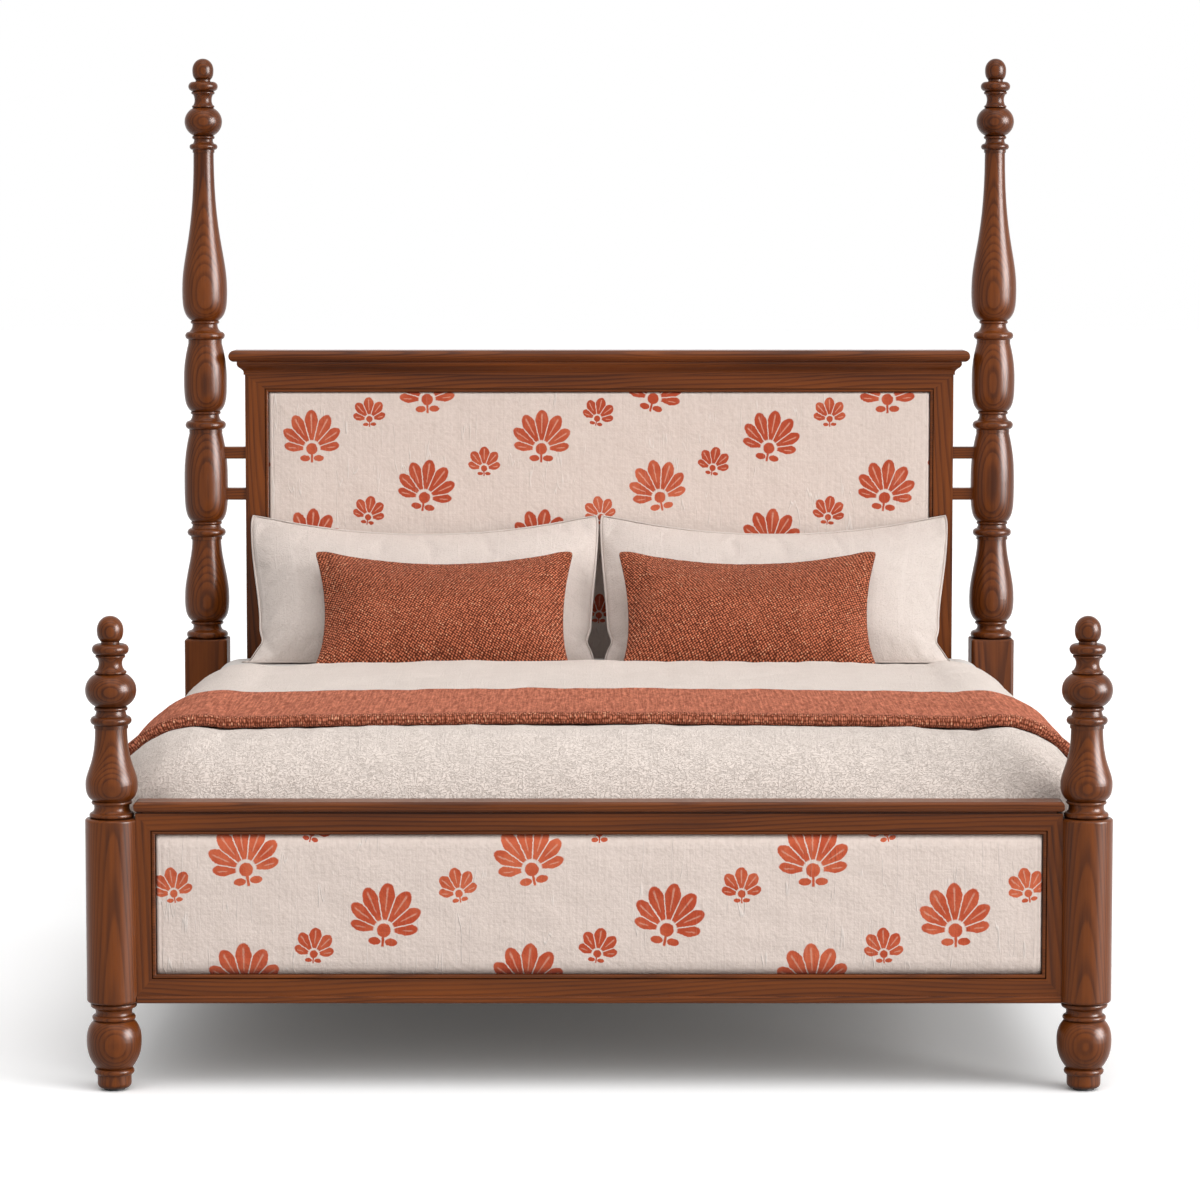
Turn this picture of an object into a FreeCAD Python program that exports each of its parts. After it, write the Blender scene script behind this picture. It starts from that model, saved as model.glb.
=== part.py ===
import FreeCAD, Part
import math
import os
from dataclasses import dataclass

# A king-size poster bed with turned posts, upholstered panels and its bedding.
# Millimetres, +Z up, origin on the floor under the middle of the bed.
# The footboard is at -Y, the headboard at +Y and the left side, seen from the foot, at -X.

V = FreeCAD.Vector
UP = V(0, 0, 1)
QUARTER_LEAN = 1 - math.sqrt(0.5)

# Plan of the posts
POST_SPACING_X = 2000.0
POST_SPACING_Y = 2150.0

# Clearances
WOOD_FIT = 0.1
FINIAL_FIT = 0.06
PLATE_FIT = 0.2
SOFT_GAP = 0.3

# Feet and blocks of the posts
GLIDE_RADIUS = 22.0
GLIDE_THICKNESS = 4.0
FOOT_SOLE_RADIUS = 25.0
FOOT_SOLE_ROUND = 10.0
FOOT_BASE_HEIGHT = 28.0
FOOT_RING_RADIUS = 41.2
FOOT_RING_HEIGHT = 14.0
COLUMN_RADIUS = 55.0
COLUMN_FLAT_DEPTH = 5.0
COLUMN_HEIGHT = 382.0
COLUMN_EDGE_ROUND = 6.0
HEAD_BLOCK_SIDE = 108.0
HEAD_BLOCK_HEIGHT = 542.0
HEAD_BLOCK_CORNER = 9.0
HEAD_BLOCK_SHOULDER = 4.0

# Pins that join the turnings
FINIAL_TENON_RADIUS = 10.0
FINIAL_TENON_LENGTH = 45.0
FINIAL_BORE_SPARE = 3.0
TIP_FLARE_ANGLE = 50.0
TIP_FLARE_PULL = (0.35, 0.4)
TIP_CROWN_PULL = (0.4, 0.4)
STUD_RADIUS = 8.0
STUD_LENGTH = 120.0

# Headboard
HEAD_FRAME_FROM_POSTS = 102.0
HEAD_FRAME_TOP = 1397.0
HEAD_STILE_WIDTH = 50.0
HEAD_TOP_RAIL_HEIGHT = 35.0
HEAD_BOTTOM_RAIL_HEIGHT = 60.0
HEAD_STILE_QUIRK_WIDTH = 6.0
HEAD_STILE_QUIRK_DEPTH = 2.0
HEAD_BEAD_WIDTH = 9.0
CROWN_HEIGHT = 33.0
CROWN_FILLET = 5.0
CROWN_BOTTOM_OVERHANG = 3.0
CROWN_TOP_OVERHANG = 19.0
CORNICE_THICKNESS = 29.0
CORNICE_OVERHANG = 39.0
CORNICE_DEPTH_OVERHANG = 32.0
LINK_RAIL_SIZE = 30.0
LINK_RAIL_EASE = 3.0
LINK_RAILS_BELOW_TOP = (303.0, 198.5)
LINK_RAIL_FROM_POST_AXIS = 30.0
LINK_RAIL_IN_STILE = 22.0
CROSS_RAIL_THICKNESS = 40.0
CROSS_RAIL_HEIGHT = 200.0
CROSS_RAIL_DOWELS = (0.25, 0.75)

# Footboard
FOOT_FRAME_ABOVE_COLUMN = 11.0
FOOT_FRAME_DOWELS = (0.2, 0.5, 0.8)
FOOT_STILE_WIDTH = 31.0
FOOT_RAIL_HEIGHT = 35.0
FOOT_BEAD_WIDTH = 9.0
BASE_MOULDING_HEIGHT = 15.0
BASE_MOULDING_PROUD = 4.0
BASE_MOULDING_ROUND = 3.5
FOOT_CAP_NECK = 4.0
FOOT_CAP_NECK_INSET = 3.0
FOOT_CAP_THICKNESS = 21.0
FOOT_CAP_OVERHANG = 12.0
FOOT_CAP_ROUND = 8.0
FOOT_CAP_POST_GAP = 1.5

# Panels, alike in both boards
FRAME_THICKNESS = 44.0
BEAD_RECESS = 2.0
BEAD_ROUND = 3.5
BACKING_THICKNESS = 12.0
BACKING_FROM_BACK = 10.0
PAD_FACE_RECESS = 4.0
PAD_EDGE_ROUND = 9.0

# Side rails and what they carry
RAIL_THICKNESS = 36.0
RAIL_HEIGHT = 200.0
RAIL_ABOVE_BLOCK_BOTTOM = 32.0
RAIL_EASE = 4.0
LEDGER_WIDTH = 26.0
LEDGER_HEIGHT = 30.0
LEDGER_ABOVE_RAIL_BOTTOM = 5.0
LEDGER_SCREWS_PER_SIDE = 6
SCREW_RADIUS = 2.5
SCREW_LENGTH = 44.0
SCREW_HEAD_RADIUS = 5.0
SCREW_HEAD_HEIGHT = 3.0
SLAT_COUNT = 7
SLAT_WIDTH = 90.0
SLAT_THICKNESS = 20.0
SLAT_END_GAP = 2.0
SLAT_FIRST_INSET = 60.0

# Hook plates between the side rails and the posts
PLATE_WIDTH = 24.0
PLATE_HEIGHT = 130.0
PLATE_THICKNESS = 3.0
HOOK_HEIGHT = 22.0
HOOK_THICKNESS = 4.0
HOOK_REACH = 9.0
HOOK_SPACING = 70.0
HOOK_POCKET_DEPTH = 10.0

# Centre support
BEAM_WIDTH = 50.0
BEAM_HEIGHT = 60.0
HANGER_THICKNESS = 3.0
HANGER_SHELF = 45.0
LEG_SIDE = 50.0
LEG_SPACING = 560.0
LEG_FIRST_FROM_MIDDLE = 20.0
LEVELLER_SEAT = 12.0
LEVELLER_STEM_RADIUS = 5.0
LEVELLER_STEM_LENGTH = 60.0
LEVELLER_SCREWED_OUT = 21.0
LEVELLER_FIT = 0.08
LEVELLER_PAD_RADIUS = 18.0
DOWEL_RADIUS = 6.0
DOWEL_LENGTH = 44.0

# Bedding
FOUNDATION_HEIGHT = 120.0
FOUNDATION_SIDE_GAP = 12.0
FOUNDATION_SPLIT = 6.0
FOUNDATION_ROUND = 12.0
MATTRESS_SIDE_GAP = 17.0
MATTRESS_HEIGHT = 299.0
MATTRESS_FOOT_GAP = 26.0
MATTRESS_HEAD_GAP = 6.0
MATTRESS_CORNER = 70.0
MATTRESS_TOP_ROUND = 75.0
MATTRESS_BOTTOM_ROUND = 30.0
DUVET_THICKNESS = 30.0
DUVET_CROWN = 9.0
DUVET_FLAT_INSET = 165.0
DUVET_SHOULDER_OUT = 37.0
DUVET_SHOULDER_DROP = 91.0
DUVET_SHOULDER_BULGE = (0.64, 0.22)
DUVET_HEM_OVER_RAIL = 45.0
DUVET_HEM_OUT = 24.0
DUVET_CUSHION_GAP = 32.0
DUVET_FRONT_ROLL = 265.0
DUVET_ROLL_BULGE = (0.27, 0.2)
DUVET_ROLL_END = 0.7
DUVET_FRONT_GAP = 6.0
DUVET_FRONT_DROP = 190.0
DUVET_POST_GAP = 6.0
THROW_THICKNESS = 25.0
THROW_WIDTH = 540.0
THROW_FROM_FOOT_POSTS = 305.0
THROW_DROP = 239.0
PILLOW_SIDE_INSET = 99.0
PILLOW_HEIGHT = 445.0
PILLOW_THICKNESS = 170.0
PILLOW_DRAWN_IN = 40.0
PILLOW_LEAN = 35.0
PILLOW_GAP = 8.0
CUSHION_WIDTH = 618.0
CUSHION_HEIGHT = 345.0
CUSHION_THICKNESS = 120.0
CUSHION_DRAWN_IN = 30.0
CUSHION_LEAN = 36.0
CUSHION_TOWARDS_MIDDLE = 66.0
SEAM_THICKNESS = 12.0
STUFFED_STATIONS = (-1.0, -0.94, -0.8, -0.55, -0.25, 0.0, 0.25, 0.55, 0.8, 0.94, 1.0)
SLIDE_STEPS = 60
SLIDE_TOLERANCE = 0.01


@dataclass(frozen=True)
class Collar:
    """A turned bead with a hollow neck and a small ring above it."""

    bead_radius: float
    bead_height: float
    neck_radius: float
    neck_height: float
    ring_radius: float
    ring_height: float


@dataclass(frozen=True)
class Swell:
    """A turned vase or barrel: it swells from its foot to a belly and draws in to its top."""

    foot_radius: float
    belly_radius: float
    belly_height: float
    top_radius: float
    height: float
    leave_foot: float
    foot_pull: tuple
    reach_top: float
    top_pull: tuple


@dataclass(frozen=True)
class Finial:
    """A turned finial: fillet, collar, ball, ring, hollow, ring, disc, neck and tip."""

    fillet_radius: float
    fillet_height: float
    collar: Collar
    ball_radius: float
    ball_height: float
    ring_radius: float
    ring_height: float
    hollow_radius: float
    hollow_height: float
    upper_ring_radius: float
    upper_ring_height: float
    disc_radius: float
    disc_height: float
    neck_radius: float
    neck_height: float
    tip_radius: float
    tip_belly_height: float
    tip_height: float


FOOT_BULB = Swell(36.6, 56.5, 58.0, 41.0, 99.0, 40.0, (0.38, 0.38), -50.0, (0.45, 0.3))
FOOT_COLLAR = Collar(44.7, 12.0, 37.4, 14.0, 47.7, 12.0)

FOOT_POST_COLLAR = Collar(46.0, 12.0, 36.2, 16.0, 41.5, 8.0)
FOOT_POST_VASE = Swell(39.0, 53.4, 34.0, 32.9, 149.0, 55.0, (0.35, 0.5), 0.0, (0.24, 0.64))

HEAD_POST_COLLAR = Collar(52.3, 20.0, 35.6, 16.0, 41.2, 8.0)
LOWER_VASE = Swell(38.0, 56.5, 60.0, 36.8, 209.0, 55.0, (0.3, 0.5), 0.0, (0.36, 0.34))
LOWER_BARREL = Swell(38.0, 55.2, 106.0, 41.0, 226.0, 50.0, (0.2, 0.6), -14.0, (0.42, 0.3))
UPPER_BARREL = Swell(37.0, 54.3, 81.4, 42.0, 173.0, 52.0, (0.24, 0.55), -14.0, (0.42, 0.3))
LONG_VASE = Swell(35.0, 56.8, 77.0, 25.5, 423.0, 55.0, (0.3, 0.5), 0.0, (0.26, 0.62))
SHAFT_FILLET_HEIGHT = 8.0
SHAFT_FILLET_RADII = (39.5, 42.0, 42.5)
SHAFT_COLLARS = (
    Collar(48.6, 20.0, 36.4, 10.0, 39.2, 8.0),
    Collar(51.1, 22.0, 35.1, 16.0, 38.2, 8.5),
    Collar(50.1, 20.0, 33.0, 20.0, 36.2, 8.5),
)

FOOT_FINIAL = Finial(
    fillet_radius=34.9,
    fillet_height=7.0,
    collar=Collar(42.1, 18.0, 30.9, 11.0, 34.2, 8.5),
    ball_radius=52.3,
    ball_height=67.8,
    ring_radius=32.9,
    ring_height=6.2,
    hollow_radius=24.0,
    hollow_height=26.5,
    upper_ring_radius=30.6,
    upper_ring_height=6.0,
    disc_radius=37.6,
    disc_height=22.6,
    neck_radius=18.7,
    neck_height=5.0,
    tip_radius=27.1,
    tip_belly_height=22.7,
    tip_height=52.4,
)
HEAD_FINIAL = Finial(
    fillet_radius=27.6,
    fillet_height=7.0,
    collar=Collar(35.2, 15.5, 24.0, 11.5, 28.4, 8.5),
    ball_radius=47.2,
    ball_height=69.9,
    ring_radius=28.4,
    ring_height=6.6,
    hollow_radius=21.5,
    hollow_height=27.0,
    upper_ring_radius=29.2,
    upper_ring_height=8.0,
    disc_radius=37.0,
    disc_height=24.0,
    neck_radius=18.7,
    neck_height=5.0,
    tip_radius=26.6,
    tip_belly_height=24.0,
    tip_height=53.0,
)


class Turning:
    """Half outline of a turned piece, drawn upwards from its lower end and then spun."""

    def __init__(self, radius, z):
        self.tip = V(radius, 0, z)
        self.edges = []
        self.low = z
        self.line(radius, z, V(0, 0, z))

    def line(self, radius, z, start=None):
        """Straight cut to a radius and height."""
        begin = self.tip if start is None else start
        end = V(radius, 0, z)
        if begin.distanceToPoint(end) > 1e-6:
            self.edges.append(Part.makeLine(begin, end))
        self.tip = end

    def step(self, radius):
        """Square shoulder to another radius."""
        self.line(radius, self.tip.z)

    def rise(self, height):
        """Plain cylinder."""
        self.line(self.tip.x, self.tip.z + height)

    def arc(self, radius, height, end_radius):
        """Bead or hollow: one arc through a radius at mid height."""
        middle = V(radius, 0, self.tip.z + height / 2)
        end = V(end_radius, 0, self.tip.z + height)
        self.edges.append(Part.Arc(self.tip, middle, end).toShape())
        self.tip = end

    def quarter_round(self, radius):
        """Rounded edge, outwards or inwards, to another radius."""
        end = V(radius, 0, self.tip.z + abs(radius - self.tip.x))
        corner = V(radius, 0, self.tip.z) if radius > self.tip.x else V(self.tip.x, 0, end.z)
        centre = self.tip + end - corner
        middle = corner + (centre - corner) * QUARTER_LEAN
        self.edges.append(Part.Arc(self.tip, middle, end).toShape())
        self.tip = end

    def bead(self, radius, height):
        """Half-round bead."""
        self.step(radius - height / 2)
        self.arc(radius, height, radius - height / 2)

    def curve(self, radius, height, leave, reach, pull):
        """Flowing cut that leaves and arrives at given angles from the upright."""
        end = V(radius, 0, self.tip.z + height)
        chord = self.tip.distanceToPoint(end)
        out = V(math.sin(math.radians(leave)), 0, math.cos(math.radians(leave)))
        into = V(math.sin(math.radians(reach)), 0, math.cos(math.radians(reach)))
        first_pole = self.tip + out * (chord * pull[0])
        last_pole = end - into * (chord * pull[1])
        bezier = Part.BezierCurve()
        bezier.setPoles([self.tip, first_pole, last_pole, end])
        self.edges.append(bezier.toShape())
        self.tip = end

    def swell(self, swell):
        """Vase or barrel."""
        self.step(swell.foot_radius)
        self.curve(swell.belly_radius, swell.belly_height, swell.leave_foot, 0.0, swell.foot_pull)
        rest = swell.height - swell.belly_height
        self.curve(swell.top_radius, rest, 0.0, swell.reach_top, swell.top_pull)

    def collar(self, collar):
        """Bead, hollow neck and ring."""
        self.bead(collar.bead_radius, collar.bead_height)
        ring_foot = collar.ring_radius - collar.ring_height / 2
        self.arc(collar.neck_radius, collar.neck_height, ring_foot)
        self.bead(collar.ring_radius, collar.ring_height)

    def solid(self):
        """The finished turning, with its axis on Z."""
        top = V(0, 0, self.tip.z)
        edges = list(self.edges)
        if self.tip.distanceToPoint(top) > 1e-6:
            edges.append(Part.makeLine(self.tip, top))
        edges.append(Part.makeLine(top, V(0, 0, self.low)))
        return Part.Face(Part.Wire(edges)).revolve(V(0, 0, 0), UP, 360)


# Places worked out from the sizes above
POST_X = POST_SPACING_X / 2
FOOT_Y = -POST_SPACING_Y / 2
HEAD_Y = POST_SPACING_Y / 2
SIDES = {"left": -1, "right": 1}


def collar_height(collar):
    return collar.bead_height + collar.neck_height + collar.ring_height


BLOCK_BOTTOM = (
    GLIDE_THICKNESS + FOOT_BASE_HEIGHT + FOOT_RING_HEIGHT + FOOT_BULB.height + collar_height(FOOT_COLLAR)
)
COLUMN_TOP = BLOCK_BOTTOM + COLUMN_HEIGHT
FOOT_POST_TOP = COLUMN_TOP + collar_height(FOOT_POST_COLLAR) + FOOT_POST_VASE.height
HEAD_BLOCK_TOP = BLOCK_BOTTOM + HEAD_BLOCK_HEIGHT
HEAD_POST_TOP = (
    HEAD_BLOCK_TOP
    + collar_height(HEAD_POST_COLLAR)
    + sum(swell.height for swell in (LOWER_VASE, LOWER_BARREL, UPPER_BARREL, LONG_VASE))
    + sum(SHAFT_FILLET_HEIGHT + collar_height(collar) for collar in SHAFT_COLLARS)
)
FINIAL_PLACES = (("foot", FOOT_FINIAL, FOOT_Y, FOOT_POST_TOP), ("head", HEAD_FINIAL, HEAD_Y, HEAD_POST_TOP))
HEAD_BLOCK_FACE = HEAD_Y - HEAD_BLOCK_SIDE / 2
COLUMN_FLAT = COLUMN_RADIUS - COLUMN_FLAT_DEPTH
COLUMN_BACK = FOOT_Y + COLUMN_FLAT
FOOT_POST_GIRTH = max(COLUMN_RADIUS, FOOT_POST_VASE.belly_radius)
FOOT_FRAME_HALF_WIDTH = POST_X - COLUMN_FLAT
FOOT_FRAME_BOTTOM = BLOCK_BOTTOM + BASE_MOULDING_HEIGHT
FOOT_FRAME_TOP = COLUMN_TOP + FOOT_FRAME_ABOVE_COLUMN
HEAD_FRAME_HALF_WIDTH = POST_X - HEAD_FRAME_FROM_POSTS
LINK_RAIL_HEIGHTS = [HEAD_FRAME_TOP - drop for drop in LINK_RAILS_BELOW_TOP]

RAIL_BOTTOM = BLOCK_BOTTOM + RAIL_ABOVE_BLOCK_BOTTOM
RAIL_TOP = RAIL_BOTTOM + RAIL_HEIGHT
RAIL_MIDDLE = RAIL_BOTTOM + RAIL_HEIGHT / 2
RAIL_INNER_X = POST_X - RAIL_THICKNESS / 2
LEDGER_BOTTOM = RAIL_BOTTOM + LEDGER_ABOVE_RAIL_BOTTOM
SLAT_BOTTOM = LEDGER_BOTTOM + LEDGER_HEIGHT
SLAT_TOP = SLAT_BOTTOM + SLAT_THICKNESS
BEAM_BOTTOM = SLAT_BOTTOM - BEAM_HEIGHT
CROSS_RAIL_TOP = BEAM_BOTTOM + CROSS_RAIL_HEIGHT
MATTRESS_BOTTOM = SLAT_TOP + FOUNDATION_HEIGHT
MATTRESS_TOP = MATTRESS_BOTTOM + MATTRESS_HEIGHT
MATTRESS_HALF_WIDTH = RAIL_INNER_X - MATTRESS_SIDE_GAP
MATTRESS_FOOT_Y = COLUMN_BACK + MATTRESS_FOOT_GAP
MATTRESS_HEAD_Y = HEAD_BLOCK_FACE - MATTRESS_HEAD_GAP
DUVET_TOP = MATTRESS_TOP + DUVET_THICKNESS
DUVET_SHOULDER = DUVET_TOP - DUVET_CROWN - DUVET_SHOULDER_DROP
DUVET_HEM = RAIL_TOP - DUVET_HEM_OVER_RAIL
PILLOW_WIDTH = MATTRESS_HALF_WIDTH - PILLOW_SIDE_INSET - PILLOW_GAP / 2


def box(corner, opposite):
    """Block between two opposite corners."""
    low = V(*(min(pair) for pair in zip(corner, opposite)))
    high = V(*(max(pair) for pair in zip(corner, opposite)))
    size = high - low
    return Part.makeBox(size.x, size.y, size.z, low)


def cylinder(radius, length, start, direction):
    return Part.makeCylinder(radius, length, start, direction)


def edges_along(solid, direction):
    """Straight edges of a block that run along a direction."""
    found = []
    for edge in solid.Edges:
        run = edge.Vertexes[-1].Point - edge.Vertexes[0].Point
        if run.Length > 1e-6 and abs(run.normalize().dot(direction)) > 0.999:
            found.append(edge)
    return found


def edges_at(solid, axis, place):
    """Edges whose every end lies at a place on one axis."""
    found = []
    for edge in solid.Edges:
        if all(abs(getattr(vertex.Point, axis) - place) < 1e-4 for vertex in edge.Vertexes):
            found.append(edge)
    return found


def front_edges(solid, direction, y_front):
    """Straight edges along a direction on a face that is square to Y."""
    return [edge for edge in edges_along(solid, direction) if abs(edge.Vertexes[0].Y - y_front) < 1e-4]


def prism(points, y_from, y_to):
    """Polygon in the XZ plane, drawn out along Y."""
    corners = [V(x, y_from, z) for x, z in points]
    return Part.Face(Part.makePolygon(corners + corners[:1])).extrude(V(0, y_to - y_from, 0))


def turned_foot():
    """Turned foot of every post, from its glide up to the block."""
    foot = Turning(FOOT_SOLE_RADIUS, GLIDE_THICKNESS)
    foot.quarter_round(FOOT_SOLE_RADIUS + FOOT_SOLE_ROUND)
    foot.rise(FOOT_BASE_HEIGHT - FOOT_SOLE_ROUND)
    foot.bead(FOOT_RING_RADIUS, FOOT_RING_HEIGHT)
    foot.swell(FOOT_BULB)
    foot.collar(FOOT_COLLAR)
    return foot


def finial(sizes):
    """Finial with the tenon that drops into its post, standing at height zero."""
    turning = Turning(FINIAL_TENON_RADIUS, -FINIAL_TENON_LENGTH)
    turning.rise(FINIAL_TENON_LENGTH)
    turning.step(sizes.fillet_radius)
    turning.rise(sizes.fillet_height)
    turning.collar(sizes.collar)
    ring_foot = sizes.ring_radius - sizes.ring_height / 2
    turning.arc(sizes.ball_radius, sizes.ball_height, ring_foot)
    turning.bead(sizes.ring_radius, sizes.ring_height)
    upper_ring_foot = sizes.upper_ring_radius - sizes.upper_ring_height / 2
    turning.arc(sizes.hollow_radius, sizes.hollow_height, upper_ring_foot)
    turning.bead(sizes.upper_ring_radius, sizes.upper_ring_height)
    turning.bead(sizes.disc_radius, sizes.disc_height)
    turning.step(sizes.neck_radius)
    turning.rise(sizes.neck_height)
    turning.curve(sizes.tip_radius, sizes.tip_belly_height, TIP_FLARE_ANGLE, 0.0, TIP_FLARE_PULL)
    turning.curve(0.0, sizes.tip_height - sizes.tip_belly_height, 0.0, -90.0, TIP_CROWN_PULL)
    return turning.solid()


def finial_bore(x, y, top):
    """Socket in a post's top for the finial's tenon."""
    depth = FINIAL_TENON_LENGTH + FINIAL_BORE_SPARE
    return cylinder(FINIAL_TENON_RADIUS + FINIAL_FIT, depth, V(x, y, top - depth), UP)


def hook_places():
    """Heights of the two hooks on each plate."""
    return [RAIL_MIDDLE - HOOK_SPACING / 2, RAIL_MIDDLE + HOOK_SPACING / 2]


def upright_plate(x, y_face, into, depth, grow):
    """Upright steel plate let into a face that is square to Y."""
    half = PLATE_WIDTH / 2 + grow
    rise = PLATE_HEIGHT / 2 + grow
    y_other = y_face + into * depth
    return box((x - half, y_face, RAIL_MIDDLE - rise), (x + half, y_other, RAIL_MIDDLE + rise))


def hook_block(x, y_from, y_to, grow):
    """Two hooks, or the room for them, as blocks between two Y places."""
    half = HOOK_THICKNESS / 2 + grow
    rise = HOOK_HEIGHT / 2 + grow
    return [box((x - half, y_from, z - rise), (x + half, y_to, z + rise)) for z in hook_places()]


def plate_recess(x, y_face, into):
    """Recess in a post for the slotted plate, with pockets behind it for the hooks."""
    cut = upright_plate(x, y_face, into, PLATE_THICKNESS, PLATE_FIT)
    behind = y_face + into * PLATE_THICKNESS
    for pocket in hook_block(x, behind, behind + into * HOOK_POCKET_DEPTH, PLATE_FIT):
        cut = cut.fuse(pocket)
    return cut


def dowel_rows(half_width, heights, y):
    """Places of the cross dowels at a member's two ends."""
    return [(side * half_width, y, z) for side in SIDES.values() for z in heights]


def footboard_dowels():
    span = FOOT_FRAME_TOP - FOOT_FRAME_BOTTOM
    heights = [FOOT_FRAME_BOTTOM + span * share for share in FOOT_FRAME_DOWELS]
    return dowel_rows(FOOT_FRAME_HALF_WIDTH, heights, FOOT_Y)


def cross_rail_dowels():
    heights = [BEAM_BOTTOM + CROSS_RAIL_HEIGHT * share for share in CROSS_RAIL_DOWELS]
    return dowel_rows(POST_X - HEAD_BLOCK_SIDE / 2, heights, HEAD_Y)


def dowels(places, grow):
    """Dowels lying along X, centred on the joint."""
    length = DOWEL_LENGTH + 2 * grow
    starts = [V(x - length / 2, y, z) for x, y, z in places]
    return [cylinder(DOWEL_RADIUS + grow, length, start, V(1, 0, 0)) for start in starts]


def cut_all(solid, tools):
    """Solid with a list of tools cut away."""
    return solid.cut(Part.makeCompound(tools))


def foot_post(side):
    """Foot post: turned foot, round column with two milled flats, collar and vase."""
    turning = turned_foot()
    turning.step(COLUMN_RADIUS - COLUMN_EDGE_ROUND)
    turning.quarter_round(COLUMN_RADIUS)
    turning.rise(COLUMN_HEIGHT - 2 * COLUMN_EDGE_ROUND)
    turning.quarter_round(COLUMN_RADIUS - COLUMN_EDGE_ROUND)
    turning.collar(FOOT_POST_COLLAR)
    turning.swell(FOOT_POST_VASE)
    post = turning.solid()
    x = side * POST_X
    post.translate(V(x, FOOT_Y, 0))
    flat_x = x - side * COLUMN_FLAT
    past_x = x - side * 2 * COLUMN_RADIUS
    reach = 2 * COLUMN_RADIUS
    inner_flat = box((flat_x, FOOT_Y - reach, BLOCK_BOTTOM), (past_x, FOOT_Y + reach, COLUMN_TOP))
    back_flat = box((x - reach, COLUMN_BACK, BLOCK_BOTTOM), (x + reach, FOOT_Y + reach, COLUMN_TOP))
    bore = finial_bore(x, FOOT_Y, FOOT_POST_TOP)
    tools = [inner_flat, back_flat, bore, plate_recess(x, COLUMN_BACK, -1)]
    return cut_all(post, tools + dowels(footboard_dowels(), WOOD_FIT))


def head_post_lower(side):
    """Square block of a head post on its turned foot."""
    x = side * POST_X
    half = HEAD_BLOCK_SIDE / 2
    block = box((x - half, HEAD_Y - half, BLOCK_BOTTOM), (x + half, HEAD_Y + half, HEAD_BLOCK_TOP))
    block = block.makeFillet(HEAD_BLOCK_CORNER, edges_along(block, UP))
    rims = edges_at(block, "z", HEAD_BLOCK_TOP) + edges_at(block, "z", BLOCK_BOTTOM)
    block = block.makeFillet(HEAD_BLOCK_SHOULDER, rims)
    foot = turned_foot().solid()
    foot.translate(V(x, HEAD_Y, 0))
    post = block.fuse(foot).removeSplitter()
    bore = stud(x, WOOD_FIT)
    tools = [bore, plate_recess(x, HEAD_BLOCK_FACE, 1)]
    return cut_all(post, tools + dowels(cross_rail_dowels(), WOOD_FIT))


def stud(x, grow):
    """Stud, or its hole, that joins the lower and upper head post."""
    length = STUD_LENGTH + 2 * grow
    return cylinder(STUD_RADIUS + grow, length, V(x, HEAD_Y, HEAD_BLOCK_TOP - length / 2), UP)


def head_post_upper(side):
    """Turned shaft of a head post: collars, vase, two barrels and a long vase."""
    x = side * POST_X
    bead_foot = HEAD_POST_COLLAR.bead_radius - HEAD_POST_COLLAR.bead_height / 2
    turning = Turning(bead_foot, HEAD_BLOCK_TOP)
    turning.collar(HEAD_POST_COLLAR)
    turning.swell(LOWER_VASE)
    next_swells = (LOWER_BARREL, UPPER_BARREL, LONG_VASE)
    for fillet_radius, collar, swell in zip(SHAFT_FILLET_RADII, SHAFT_COLLARS, next_swells):
        turning.step(fillet_radius)
        turning.rise(SHAFT_FILLET_HEIGHT)
        turning.collar(collar)
        turning.swell(swell)
    shaft = turning.solid()
    shaft.translate(V(x, HEAD_Y, 0))
    mortises = [link_rail(side, height, WOOD_FIT) for height in LINK_RAIL_HEIGHTS]
    return cut_all(shaft, [finial_bore(x, HEAD_Y, HEAD_POST_TOP), stud(x, WOOD_FIT)] + mortises)


def link_rail(side, height, grow):
    """Short square rail, or its mortise, between a headboard stile and the head post."""
    start = side * (HEAD_FRAME_HALF_WIDTH - LINK_RAIL_IN_STILE - grow)
    end = side * (POST_X - LINK_RAIL_FROM_POST_AXIS + grow)
    half = LINK_RAIL_SIZE / 2 + grow
    bar = box((start, HEAD_Y - half, height - half), (end, HEAD_Y + half, height + half))
    return bar.makeFillet(LINK_RAIL_EASE, edges_along(bar, V(1, 0, 0)))


def mitred_frame(half_width, z_low, z_high, side_width, bottom_width, top_width, y_from, y_to):
    """Four members of a frame with mitred corners."""
    inner = half_width - side_width
    low, high = z_low + bottom_width, z_high - top_width
    outlines = {
        "left": [(-half_width, z_low), (-half_width, z_high), (-inner, high), (-inner, low)],
        "right": [(half_width, z_low), (half_width, z_high), (inner, high), (inner, low)],
        "top": [(-half_width, z_high), (half_width, z_high), (inner, high), (-inner, high)],
        "bottom": [(-half_width, z_low), (half_width, z_low), (inner, low), (-inner, low)],
    }
    return {name: prism(outline, y_from, y_to) for name, outline in outlines.items()}


def bead_strips(half_width, z_low, z_high, width, y_front, y_back):
    """Four mitred strips round a panel, rounded on their front edges."""
    strips = mitred_frame(half_width, z_low, z_high, width, width, width, y_front, y_back)
    rounded = []
    for name, strip in strips.items():
        run = UP if name in SIDES else V(1, 0, 0)
        rounded.append(strip.makeFillet(BEAD_ROUND, front_edges(strip, run, y_front)))
    return rounded


def backing_board(half_width, z_low, z_high, y_mid):
    """Board that closes the frame behind the pad."""
    y_back = y_mid + FRAME_THICKNESS / 2 - BACKING_FROM_BACK
    return box((-half_width, y_back - BACKING_THICKNESS, z_low), (half_width, y_back, z_high))


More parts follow.
